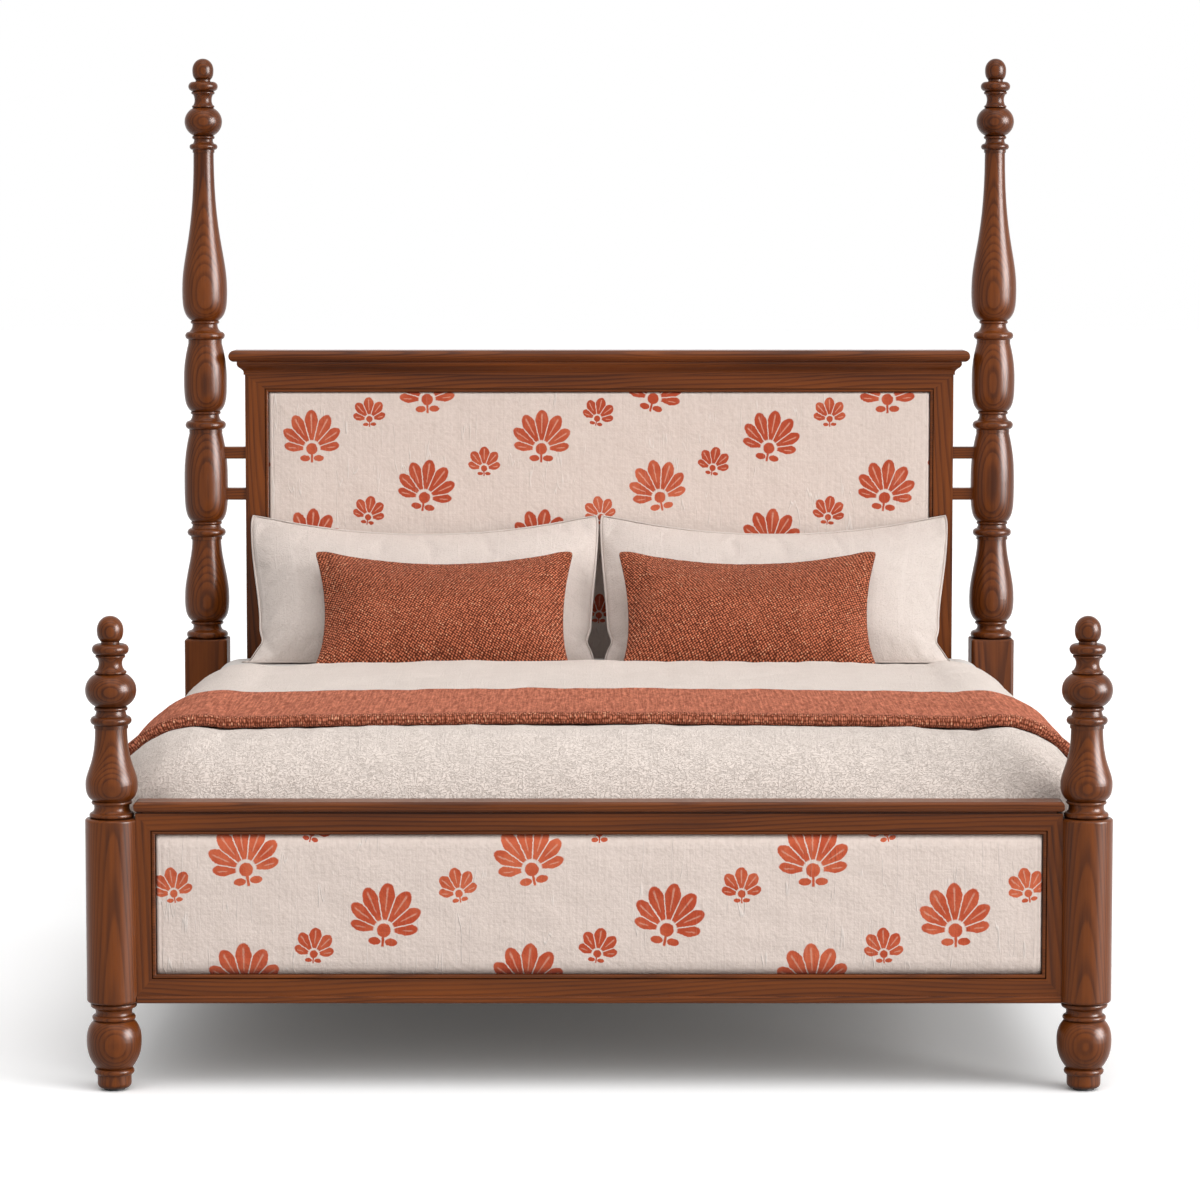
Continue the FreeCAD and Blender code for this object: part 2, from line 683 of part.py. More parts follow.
def panel_pad(half_width, z_low, z_high, y_mid):
    """Upholstered pad between the bead strips, with rolled front edges."""
    y_face = y_mid - FRAME_THICKNESS / 2 + PAD_FACE_RECESS
    y_back = y_mid + FRAME_THICKNESS / 2 - BACKING_FROM_BACK - BACKING_THICKNESS
    gap = SOFT_GAP
    pad = box((-half_width + gap, y_face, z_low + gap), (half_width - gap, y_back, z_high - gap))
    return pad.makeFillet(PAD_EDGE_ROUND, edges_at(pad, "y", y_face))


def panel(prefix, half_width, z_low, z_high, side_width, bottom_width, top_width, bead_width, y_mid):
    """Mitred frame with its bead strips, pad and backing board."""
    y_front, y_back = y_mid - FRAME_THICKNESS / 2, y_mid + FRAME_THICKNESS / 2
    frame = mitred_frame(half_width, z_low, z_high, side_width, bottom_width, top_width, y_front, y_back)
    names = {"left": "stile_left", "right": "stile_right", "top": "top_rail", "bottom": "bottom_rail"}
    pieces = {prefix + "_" + names[key]: member for key, member in frame.items()}
    inner = half_width - side_width
    low, high = z_low + bottom_width, z_high - top_width
    bead_front = y_front + BEAD_RECESS
    bead_back = y_back - BACKING_FROM_BACK - BACKING_THICKNESS
    strips = bead_strips(inner, low, high, bead_width, bead_front, bead_back)
    pieces[prefix + "_bead_strips"] = Part.makeCompound(strips)
    pieces[prefix + "_backing_board"] = backing_board(inner, low, high, y_mid)
    pieces[prefix + "_pad"] = panel_pad(inner - bead_width, low + bead_width, high - bead_width, y_mid)
    return pieces


def crossed(outline, half_x, half_y, y_mid):
    """Moulding with the same outline on its long sides and its ends, mitred at the corners."""
    reach = 2 * max(half_x, half_y)
    along = Part.Face(outline(half_x))
    along.translate(V(0, -reach, 0))
    along = along.extrude(V(0, 2 * reach, 0))
    across = Part.Face(outline(half_y))
    across.rotate(V(0, 0, 0), UP, 90)
    across.translate(V(-reach, 0, 0))
    across = across.extrude(V(2 * reach, 0, 0))
    moulding = along.common(across)
    moulding.translate(V(0, y_mid, 0))
    return moulding


def cornice_outline(half):
    """Cap with a full round nose."""
    low = HEAD_FRAME_TOP + CROWN_HEIGHT
    high = low + CORNICE_THICKNESS
    nose = CORNICE_THICKNESS / 2
    middle = low + nose
    edges = [
        Part.makeLine(V(-half + nose, 0, low), V(half - nose, 0, low)),
        Part.Arc(V(half - nose, 0, low), V(half, 0, middle), V(half - nose, 0, high)).toShape(),
        Part.makeLine(V(half - nose, 0, high), V(-half + nose, 0, high)),
        Part.Arc(V(-half + nose, 0, high), V(-half, 0, middle), V(-half + nose, 0, low)).toShape(),
    ]
    return Part.Wire(edges)


def crown_outline(half):
    """Moulding under the cap: a fillet, a flowing double curve and a fillet."""
    low, high = HEAD_FRAME_TOP, HEAD_FRAME_TOP + CROWN_HEIGHT
    top_half = half + CROWN_TOP_OVERHANG - CROWN_BOTTOM_OVERHANG
    curve_low, curve_high = low + CROWN_FILLET, high - CROWN_FILLET
    middle = (curve_low + curve_high) / 2

    def flow(sign):
        bezier = Part.BezierCurve()
        bezier.setPoles(
            [
                V(sign * half, 0, curve_low),
                V(sign * half, 0, middle),
                V(sign * top_half, 0, middle),
                V(sign * top_half, 0, curve_high),
            ]
        )
        return bezier.toShape()

    edges = [
        Part.makeLine(V(-half, 0, low), V(half, 0, low)),
        Part.makeLine(V(half, 0, low), V(half, 0, curve_low)),
        flow(1),
        Part.makeLine(V(top_half, 0, curve_high), V(top_half, 0, high)),
        Part.makeLine(V(top_half, 0, high), V(-top_half, 0, high)),
        Part.makeLine(V(-top_half, 0, high), V(-top_half, 0, curve_high)),
        flow(-1),
        Part.makeLine(V(-half, 0, curve_low), V(-half, 0, low)),
    ]
    return Part.Wire(edges)


def foot_cap_outline(half):
    """Footboard cap with rounded edges on a narrow neck."""
    low = FOOT_FRAME_TOP
    under = low + FOOT_CAP_NECK
    high = under + FOOT_CAP_THICKNESS
    neck = half - FOOT_CAP_OVERHANG - FOOT_CAP_NECK_INSET
    corner = FOOT_CAP_ROUND
    lean = corner * QUARTER_LEAN

    def nose(sign):
        lower = [V(sign * (half - corner), 0, under), V(sign * half, 0, under + corner)]
        upper = [V(sign * half, 0, high - corner), V(sign * (half - corner), 0, high)]
        low_mid = V(sign * (half - lean), 0, under + lean)
        high_mid = V(sign * (half - lean), 0, high - lean)
        return [
            Part.makeLine(V(sign * neck, 0, low), V(sign * neck, 0, under)),
            Part.makeLine(V(sign * neck, 0, under), lower[0]),
            Part.Arc(lower[0], low_mid, lower[1]).toShape(),
            Part.makeLine(lower[1], upper[0]),
            Part.Arc(upper[0], high_mid, upper[1]).toShape(),
        ]

    top = Part.makeLine(V(half - corner, 0, high), V(-half + corner, 0, high))
    bottom = Part.makeLine(V(-neck, 0, low), V(neck, 0, low))
    return Part.Wire(Part.__sortEdges__(nose(1) + nose(-1) + [top, bottom]))


def headboard():
    """Upholstered headboard with its cornice, carried by the cross rail and four short rails."""
    pieces = panel(
        "headboard",
        HEAD_FRAME_HALF_WIDTH,
        CROSS_RAIL_TOP,
        HEAD_FRAME_TOP,
        HEAD_STILE_WIDTH,
        HEAD_BOTTOM_RAIL_HEIGHT,
        HEAD_TOP_RAIL_HEIGHT,
        HEAD_BEAD_WIDTH,
        HEAD_Y,
    )
    for name, side in SIDES.items():
        key = "headboard_stile_" + name
        mortises = [link_rail(side, height, WOOD_FIT) for height in LINK_RAIL_HEIGHTS]
        outer = side * HEAD_FRAME_HALF_WIDTH
        inner = outer - side * HEAD_STILE_QUIRK_WIDTH
        y_front = HEAD_Y - FRAME_THICKNESS / 2
        y_quirk = y_front + HEAD_STILE_QUIRK_DEPTH
        quirk = box((outer, y_front, CROSS_RAIL_TOP), (inner, y_quirk, HEAD_FRAME_TOP))
        pieces[key] = cut_all(pieces[key], mortises + [quirk])
        for level, height in zip(("lower", "upper"), LINK_RAIL_HEIGHTS):
            pieces["link_rail_" + level + "_" + name] = link_rail(side, height, 0.0)
    half_x, half_y = HEAD_FRAME_HALF_WIDTH, FRAME_THICKNESS / 2
    pieces["headboard_crown_moulding"] = crossed(
        crown_outline, half_x + CROWN_BOTTOM_OVERHANG, half_y + CROWN_BOTTOM_OVERHANG, HEAD_Y
    )
    pieces["headboard_cornice_cap"] = crossed(
        cornice_outline, half_x + CORNICE_OVERHANG, half_y + CORNICE_DEPTH_OVERHANG, HEAD_Y
    )
    end = POST_X - HEAD_BLOCK_SIDE / 2
    y_half = CROSS_RAIL_THICKNESS / 2
    rail = box((-end, HEAD_Y - y_half, BEAM_BOTTOM), (end, HEAD_Y + y_half, CROSS_RAIL_TOP))
    pieces["head_cross_rail"] = cut_all(rail, dowels(cross_rail_dowels(), WOOD_FIT))
    return pieces


def footboard():
    """Upholstered footboard between the foot posts, with its cap and base moulding."""
    pieces = panel(
        "footboard",
        FOOT_FRAME_HALF_WIDTH,
        FOOT_FRAME_BOTTOM,
        FOOT_FRAME_TOP,
        FOOT_STILE_WIDTH,
        FOOT_RAIL_HEIGHT,
        FOOT_RAIL_HEIGHT,
        FOOT_BEAD_WIDTH,
        FOOT_Y,
    )
    holes = dowels(footboard_dowels(), WOOD_FIT)
    for name in SIDES:
        key = "footboard_stile_" + name
        pieces[key] = cut_all(pieces[key], holes)
    half_x = POST_X - FOOT_POST_COLLAR.bead_radius - FOOT_CAP_POST_GAP
    half_y = FRAME_THICKNESS / 2 + FOOT_CAP_OVERHANG
    pieces["footboard_cap"] = crossed(foot_cap_outline, half_x, half_y, FOOT_Y)
    y_front = FOOT_Y - FRAME_THICKNESS / 2 - BASE_MOULDING_PROUD
    y_back = FOOT_Y + FRAME_THICKNESS / 2
    half = FOOT_FRAME_HALF_WIDTH
    base = box((-half, y_front, BLOCK_BOTTOM), (half, y_back, FOOT_FRAME_BOTTOM))
    front = front_edges(base, V(1, 0, 0), y_front)
    pieces["footboard_base_moulding"] = base.makeFillet(BASE_MOULDING_ROUND, front)
    return pieces


def posts():
    """Four posts with their finials, studs and glides."""
    pieces = {}
    glides = []
    studs = []
    for name, side in SIDES.items():
        x = side * POST_X
        pieces["foot_post_" + name] = foot_post(side)
        pieces["head_post_lower_" + name] = head_post_lower(side)
        pieces["head_post_upper_" + name] = head_post_upper(side)
        for end, sizes, y, top in FINIAL_PLACES:
            piece = finial(sizes)
            piece.translate(V(x, y, top))
            pieces[end + "_finial_" + name] = piece
            glides.append(cylinder(GLIDE_RADIUS, GLIDE_THICKNESS, V(x, y, 0), UP))
        studs.append(stud(x, 0.0))
    pieces["floor_glides"] = Part.makeCompound(glides)
    pieces["head_post_studs"] = Part.makeCompound(studs)
    pieces["frame_dowels"] = Part.makeCompound(dowels(footboard_dowels() + cross_rail_dowels(), 0.0))
    return pieces


def screw_places(side):
    """Points on a ledger's inner face where its screws start."""
    first, last = COLUMN_BACK, HEAD_BLOCK_FACE
    pitch = (last - first) / LEDGER_SCREWS_PER_SIDE
    x = side * (RAIL_INNER_X - LEDGER_WIDTH)
    z = LEDGER_BOTTOM + LEDGER_HEIGHT / 2
    return [V(x, first + pitch * (index + 0.5), z) for index in range(LEDGER_SCREWS_PER_SIDE)]


def ledger_screw(start, side, grow):
    """Countersunk screw through the ledger into the rail."""
    along = V(side, 0, 0)
    shank = cylinder(SCREW_RADIUS + grow, SCREW_LENGTH + grow, start, along)
    head = Part.makeCone(SCREW_HEAD_RADIUS + grow, SCREW_RADIUS + grow, SCREW_HEAD_HEIGHT, start, along)
    return shank.fuse(head)


def side_rails():
    """Side rails with ledgers, hook plates and the slotted plates in the posts."""
    pieces = {}
    hooks = []
    slotted = []
    screws = []
    ends = ((COLUMN_BACK, 1), (HEAD_BLOCK_FACE, -1))
    for name, side in SIDES.items():
        x = side * POST_X
        half = RAIL_THICKNESS / 2
        rail = box((x - half, COLUMN_BACK, RAIL_BOTTOM), (x + half, HEAD_BLOCK_FACE, RAIL_TOP))
        rail = rail.makeFillet(RAIL_EASE, edges_along(rail, V(0, 1, 0)))
        holes = [ledger_screw(start, side, WOOD_FIT) for start in screw_places(side)]
        recesses = [upright_plate(x, y, into, PLATE_THICKNESS, PLATE_FIT) for y, into in ends]
        pieces["side_rail_" + name] = cut_all(rail, holes + recesses)
        inner, outer = side * (RAIL_INNER_X - LEDGER_WIDTH), side * RAIL_INNER_X
        ledger = box((inner, COLUMN_BACK, LEDGER_BOTTOM), (outer, HEAD_BLOCK_FACE, SLAT_BOTTOM))
        pieces["slat_ledger_" + name] = cut_all(ledger, holes)
        screws += [ledger_screw(start, side, 0.0) for start in screw_places(side)]
        for y, into in ends:
            plate = upright_plate(x, y, into, PLATE_THICKNESS, 0.0)
            for hook in hook_block(x, y, y - into * HOOK_REACH, 0.0):
                plate = plate.fuse(hook)
            hooks.append(plate.removeSplitter())
            strike = upright_plate(x, y, -into, PLATE_THICKNESS, 0.0)
            slotted.append(cut_all(strike, hook_block(x, y, y - into * PLATE_THICKNESS, PLATE_FIT)))
    pieces["rail_hook_plates"] = Part.makeCompound(hooks)
    pieces["post_slotted_plates"] = Part.makeCompound(slotted)
    pieces["ledger_screws"] = Part.makeCompound(screws)
    return pieces


def leg_places():
    """Y places of the centre legs, in the half of the bed nearer the head."""
    return {"middle": LEG_FIRST_FROM_MIDDLE, "head": LEG_FIRST_FROM_MIDDLE + LEG_SPACING}


def beam_hanger(y_face, into):
    """Steel hanger: a back plate on a rail and a shelf under the beam's end."""
    half = BEAM_WIDTH / 2
    plate_top = FOOT_FRAME_BOTTOM + FOOT_RAIL_HEIGHT
    under = BEAM_BOTTOM - HANGER_THICKNESS
    plate = box((-half, y_face, BEAM_BOTTOM), (half, y_face + into * HANGER_THICKNESS, plate_top))
    shelf = box((-half, y_face, under), (half, y_face + into * HANGER_SHELF, BEAM_BOTTOM))
    return plate.fuse(shelf).removeSplitter()


def centre_support():
    """Slats on their centre beam, with its hangers, legs and levelling feet."""
    pieces = {}
    foot_face = FOOT_Y + FRAME_THICKNESS / 2
    head_face = HEAD_Y - CROSS_RAIL_THICKNESS / 2
    half = BEAM_WIDTH / 2
    y_from, y_to = foot_face + HANGER_THICKNESS, head_face - HANGER_THICKNESS
    pieces["centre_beam"] = box((-half, y_from, BEAM_BOTTOM), (half, y_to, SLAT_BOTTOM))
    pieces["beam_hangers"] = Part.makeCompound([beam_hanger(foot_face, 1), beam_hanger(head_face, -1)])
    for name, y in leg_places().items():
        side = LEG_SIDE / 2
        under = LEVELLER_SEAT + LEVELLER_SCREWED_OUT
        leg = box((-side, y - side, under), (side, y + side, BEAM_BOTTOM))
        depth = LEVELLER_STEM_LENGTH + LEVELLER_FIT
        hole = cylinder(LEVELLER_STEM_RADIUS + LEVELLER_FIT, depth, V(0, y, under), UP)
        pieces["centre_leg_" + name] = leg.cut(hole)
        foot = cylinder(LEVELLER_PAD_RADIUS, LEVELLER_SEAT, V(0, y, 0), UP)
        stem = cylinder(LEVELLER_STEM_RADIUS, LEVELLER_STEM_LENGTH, V(0, y, LEVELLER_SEAT), UP)
        pieces["levelling_foot_" + name] = foot.fuse(stem).removeSplitter()
    first = COLUMN_BACK + SLAT_FIRST_INSET
    last = HEAD_BLOCK_FACE - SLAT_FIRST_INSET - SLAT_WIDTH
    half_length = RAIL_INNER_X - SLAT_END_GAP
    slats = []
    for index in range(SLAT_COUNT):
        y = first + (last - first) * index / (SLAT_COUNT - 1)
        slats.append(box((-half_length, y, SLAT_BOTTOM), (half_length, y + SLAT_WIDTH, SLAT_TOP)))
    pieces["slats"] = Part.makeCompound(slats)
    return pieces


def mattress_form(grow):
    """Mattress with soft corners, or the same form grown all round."""
    half = MATTRESS_HALF_WIDTH + grow
    low, high = MATTRESS_BOTTOM + SOFT_GAP - grow, MATTRESS_TOP + grow
    form = box((-half, MATTRESS_FOOT_Y - grow, low), (half, MATTRESS_HEAD_Y + grow, high))
    form = form.makeFillet(MATTRESS_CORNER + grow, edges_along(form, UP))
    form = form.makeFillet(MATTRESS_TOP_ROUND + grow, edges_at(form, "z", high))
    return form.makeFillet(MATTRESS_BOTTOM_ROUND + grow, edges_at(form, "z", low))


def foundation_half(side):
    """One half of the split foundation that lies on the slats."""
    inner = side * FOUNDATION_SPLIT / 2
    outer = side * (RAIL_INNER_X - FOUNDATION_SIDE_GAP)
    low = SLAT_TOP + SOFT_GAP
    half = box((inner, MATTRESS_FOOT_Y, low), (outer, MATTRESS_HEAD_Y, MATTRESS_BOTTOM))
    return half.makeFillet(FOUNDATION_ROUND, edges_along(half, UP))


def cover_outline(grow, hem):
    """Cross-section of the laid covers: crowned top, soft shoulders and side drops."""
    flat = MATTRESS_HALF_WIDTH - DUVET_FLAT_INSET
    top = DUVET_TOP + grow
    edge_z = top - DUVET_CROWN
    side_x = MATTRESS_HALF_WIDTH + DUVET_SHOULDER_OUT + grow
    side_z = DUVET_SHOULDER
    bulge_x = flat + (side_x - flat) * DUVET_SHOULDER_BULGE[0]
    bulge_z = edge_z - (edge_z - side_z) * DUVET_SHOULDER_BULGE[1]
    hem_x = POST_X + RAIL_THICKNESS / 2 + DUVET_HEM_OUT + grow
    edges = [
        Part.Arc(V(-flat, 0, edge_z), V(0, 0, top), V(flat, 0, edge_z)).toShape(),
        Part.Arc(V(flat, 0, edge_z), V(bulge_x, 0, bulge_z), V(side_x, 0, side_z)).toShape(),
        Part.makeLine(V(side_x, 0, side_z), V(hem_x, 0, hem)),
        Part.makeLine(V(hem_x, 0, hem), V(-hem_x, 0, hem)),
        Part.makeLine(V(-hem_x, 0, hem), V(-side_x, 0, side_z)),
        Part.Arc(V(-side_x, 0, side_z), V(-bulge_x, 0, bulge_z), V(-flat, 0, edge_z)).toShape(),
    ]
    return Part.Wire(edges)


def cover_form(grow, hem, y_from, y_to):
    """Space under the outer face of a laid cover, between two Y places."""
    face = Part.Face(cover_outline(grow, hem))
    face.translate(V(0, y_from, 0))
    return face.extrude(V(0, y_to - y_from, 0))


def front_roll():
    """What is cut from the duvet's foot end to roll it down behind the footboard."""
    y_front = FOOT_Y + FRAME_THICKNESS / 2 + FOOT_CAP_OVERHANG + DUVET_FRONT_GAP
    above = DUVET_TOP + DUVET_THICKNESS
    start = V(0, y_front + DUVET_FRONT_ROLL, DUVET_TOP)
    bulge_y, bulge_z = DUVET_ROLL_BULGE
    middle = V(0, y_front + DUVET_FRONT_ROLL * bulge_y, DUVET_TOP - DUVET_FRONT_DROP * bulge_z)
    end = V(0, y_front, DUVET_TOP - DUVET_FRONT_DROP * DUVET_ROLL_END)
    low = V(0, y_front, 0)
    past = FOOT_Y - POST_X
    edges = [
        Part.Arc(start, middle, end).toShape(),
        Part.makeLine(end, low),
        Part.makeLine(low, V(0, past, 0)),
        Part.makeLine(V(0, past, 0), V(0, past, above)),
        Part.makeLine(V(0, past, above), V(0, start.y, above)),
        Part.makeLine(V(0, start.y, above), start),
    ]
    face = Part.Face(Part.Wire(edges))
    face.translate(V(-POST_SPACING_X, 0, 0))
    return face.extrude(V(2 * POST_SPACING_X, 0, 0))


def under_drop():
    """Space between the duvet's side drops: round the rails below, in to the mattress above."""
    rail_x = POST_X + RAIL_THICKNESS / 2 + SOFT_GAP
    bed_x = MATTRESS_HALF_WIDTH + SOFT_GAP
    top = RAIL_TOP + SOFT_GAP
    left = [(-rail_x, 0), (-rail_x, top), (-bed_x, DUVET_SHOULDER)]
    right = [(bed_x, DUVET_SHOULDER), (rail_x, top), (rail_x, 0)]
    return prism(left + right, MATTRESS_FOOT_Y - SOFT_GAP, HEAD_Y)


def duvet(y_head):
    """Duvet over the mattress: rolled down at the foot, hanging past the rails at the sides."""
    y_from = FOOT_Y + FRAME_THICKNESS / 2
    form = cover_form(0.0, DUVET_HEM, y_from, y_head)
    reach = POST_SPACING_X
    post_x = POST_X - FOOT_POST_GIRTH - DUVET_POST_GAP
    post_y = FOOT_Y + FOOT_POST_GIRTH + DUVET_POST_GAP
    tools = [front_roll(), mattress_form(SOFT_GAP), under_drop()]
    for side in SIDES.values():
        tools.append(box((side * reach, y_from - reach, 0), (side * post_x, post_y, reach)))
    foot_hem = DUVET_TOP - DUVET_FRONT_DROP
    tools.append(box((-reach, y_from - reach, 0), (reach, MATTRESS_FOOT_Y, foot_hem)))
    for tool in tools:
        form = form.cut(tool)
    return form


def throw():
    """Folded throw laid across the duvet, with its ends hanging down the sides."""
    y_from = FOOT_Y + THROW_FROM_FOOT_POSTS
    y_to = y_from + THROW_WIDTH
    outer = cover_form(SOFT_GAP + THROW_THICKNESS, DUVET_HEM, y_from, y_to)
    inner = cover_form(SOFT_GAP, DUVET_HEM, y_from - THROW_WIDTH, y_to + THROW_WIDTH)
    reach = POST_SPACING_X
    below = box((-reach, y_from - reach, 0), (reach, y_to + reach, DUVET_TOP - THROW_DROP))
    return outer.cut(inner).cut(below)


def stuffed(width, height, thickness, drawn_in):
    """Stuffed cushion: crowned faces, pointed corners and edges drawn in between them."""
    sections = []
    for share in STUFFED_STATIONS:
        half_height = height / 2 - drawn_in * (1 - share**2)
        half_thick = SEAM_THICKNESS / 2 + (thickness - SEAM_THICKNESS) / 2 * math.sqrt(1 - share**4)
        x = share * width / 2
        low, high = V(x, 0, -half_height), V(x, 0, half_height)
        front = Part.Arc(low, V(x, -half_thick, 0), high).toShape()
        back = Part.Arc(high, V(x, half_thick, 0), low).toShape()
        sections.append(Part.Wire([front, back]))
    return Part.makeLoft(sections, True, False)


def draw_in_ends(cushion, width, height, drawn_in):
    """Hollow the two ends of a cushion between its corners."""
    bow = (height**2 / 4 + drawn_in**2) / (2 * drawn_in)
    for side in SIDES.values():
        centre = V(side * (width / 2 - drawn_in + bow), -height, 0)
        cushion = cushion.cut(cylinder(bow, 2 * height, centre, V(0, 1, 0)))
    return cushion


def slide_to(piece, stop, direction):
    """Move a soft piece along a direction until it lies a soft gap from its stop."""
    for _ in range(SLIDE_STEPS):
        room = piece.distToShape(stop)[0] - SOFT_GAP
        if room < SLIDE_TOLERANCE:
            return
        piece.translate(direction * room)


def leaning(width, height, thickness, drawn_in, lean, x, back, seat):
    """Stuffed cushion that stands on its seat and leans back against what is behind it."""
    cushion = draw_in_ends(stuffed(width, height, thickness, drawn_in), width, height, drawn_in / 2)
    cushion.rotate(V(0, 0, 0), V(1, 0, 0), -lean)
    cushion.translate(V(x, 0, MATTRESS_TOP + height))
    slide_to(cushion, seat, V(0, 0, -1))
    slide_to(cushion, back, V(0, 1, 0))
    return cushion


def bedding(headboard_face):
    """Foundation, mattress, duvet, throw, and the pillows and cushions that lean on the headboard."""
    pieces = {"foundation_" + name: foundation_half(side) for name, side in SIDES.items()}
    pieces["mattress"] = mattress_form(0.0)
    y_cushions = HEAD_Y
    for name, side in SIDES.items():
        x = side * (PILLOW_WIDTH + PILLOW_GAP) / 2
        pillow = leaning(
            PILLOW_WIDTH,
            PILLOW_HEIGHT,
            PILLOW_THICKNESS,
            PILLOW_DRAWN_IN,
            PILLOW_LEAN,
            x,
            headboard_face,
            pieces["mattress"],
        )
        cushion = leaning(
            CUSHION_WIDTH,
            CUSHION_HEIGHT,
            CUSHION_THICKNESS,
            CUSHION_DRAWN_IN,
            CUSHION_LEAN,
            x - side * CUSHION_TOWARDS_MIDDLE,
            pillow,
            pieces["mattress"],
        )
        pieces["pillow_" + name] = pillow
        pieces["cushion_" + name] = cushion
        y_cushions = min(y_cushions, cushion.BoundBox.YMin)
    pieces["duvet"] = duvet(y_cushions - DUVET_CUSHION_GAP)
    pieces["throw"] = throw()
    return pieces


def build():
    """Every piece of the bed by name."""
    pieces = posts()
    pieces.update(headboard())
    pieces.update(footboard())
    pieces.update(side_rails())
    pieces.update(centre_support())
    face = ("headboard_pad", "headboard_stile_left", "headboard_stile_right")
    pieces.update(bedding(Part.makeCompound([pieces[name] for name in face])))
    return pieces


os.makedirs("parts", exist_ok=True)
for node, shape in build().items():
    shape.exportStep(os.path.join("parts", node + ".step"))
    print(node, len(shape.Solids), shape.isValid(), shape.BoundBox)
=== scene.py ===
import logging
import math
from contextlib import contextmanager
from dataclasses import dataclass
from enum import Enum
from functools import partial, reduce
from typing import Callable, Dict, Iterator, List, Optional, Sequence, Tuple, Union

import bpy
import numpy as np
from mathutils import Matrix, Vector


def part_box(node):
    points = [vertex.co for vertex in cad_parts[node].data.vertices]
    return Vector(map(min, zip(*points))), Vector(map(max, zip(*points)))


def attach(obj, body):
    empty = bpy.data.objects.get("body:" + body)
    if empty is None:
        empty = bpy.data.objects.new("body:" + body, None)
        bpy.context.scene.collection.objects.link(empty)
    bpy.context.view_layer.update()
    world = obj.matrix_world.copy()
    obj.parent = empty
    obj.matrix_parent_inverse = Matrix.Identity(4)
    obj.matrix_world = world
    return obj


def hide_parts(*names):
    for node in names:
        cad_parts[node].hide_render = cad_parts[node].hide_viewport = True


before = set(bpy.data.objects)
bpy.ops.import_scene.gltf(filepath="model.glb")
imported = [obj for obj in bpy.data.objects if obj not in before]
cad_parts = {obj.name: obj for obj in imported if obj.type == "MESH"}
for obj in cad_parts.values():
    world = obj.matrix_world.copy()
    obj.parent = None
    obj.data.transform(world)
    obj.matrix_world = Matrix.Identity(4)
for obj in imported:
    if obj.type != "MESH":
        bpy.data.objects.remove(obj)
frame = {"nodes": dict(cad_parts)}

# A king-size poster bed, dressed on the frame of its solids.
# Metres, +Z up, origin on the floor under the middle of the bed, footboard at -Y, left side at -X.
LOG = logging.getLogger("poster_bed")
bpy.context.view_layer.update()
BED = "bed"
SIDES: Dict[str, int] = {"left": -1, "right": 1}
WHITE = (1.0, 1.0, 1.0)
SHEEN_ROUGHNESS = 0.6
SEAM_MERGE = 0.00005
TINY = 1e-9

Object = bpy.types.Object
Material = bpy.types.Material
Socket = bpy.types.NodeSocket
Colour = Tuple[float, float, float]
Place = Tuple[float, float, float]
Points = np.ndarray
Pair = Tuple[Points, Points]
Rows = Tuple[Points, Points, Points]
Number = Union["Field", float]


class Grain(Enum):
    """Axes along the grain of a wooden piece, across it and into its depth."""

    ALONG_X = "XZY"
    ALONG_Y = "YXZ"
    ALONG_Z = "ZXY"


class Motif(Enum):
    """Leaf fans of the block print: leaves, half width in metres, shift aside and up in repeats."""

    BROAD = (7, 0.066, 0.0, 0.0)
    SMALL = (5, 0.037, 0.5, 0.27)


class Field:
    """A number that varies over a surface, carried by a node's socket."""

    def __init__(self, nodes: "Nodes", socket: Socket) -> None:
        """Keep the socket and the nodes that it belongs to."""
        self.nodes = nodes
        self.socket = socket

    def __add__(self, other: Number) -> "Field":
        """Sum."""
        return self.nodes.math("ADD", self, other)

    __radd__ = __add__

    def __sub__(self, other: Number) -> "Field":
        """Difference."""
        return self.nodes.math("SUBTRACT", self, other)

    def __rsub__(self, other: Number) -> "Field":
        """Difference from a plain number."""
        return self.nodes.math("SUBTRACT", other, self)

    def __mul__(self, other: Number) -> "Field":
        """Product."""
        return self.nodes.math("MULTIPLY", self, other)

    def __truediv__(self, other: Number) -> "Field":
        """Quotient."""
        return self.nodes.math("DIVIDE", self, other)

    def call(self, operation: str) -> "Field":
        """One of the one-value sums, such as FLOOR, FRACT, ABSOLUTE or SQRT."""
        return self.nodes.math(operation, self)

    def ramp(self, low: float, high: float, start: float = 0.0, end: float = 1.0) -> "Field":
        """Smooth step between two values.

        Args:
            low: value where the step starts.
            high: value where it ends; it may be below low.
            start: result before the step.
            end: result after it.

        Returns:
            The stepped field.
        """
        node = self.nodes.add("MapRange", Value=self, From_Min=low, From_Max=high, To_Min=start, To_Max=end)
        node.interpolation_type = "SMOOTHSTEP"
        return Field(self.nodes, node.outputs["Result"])


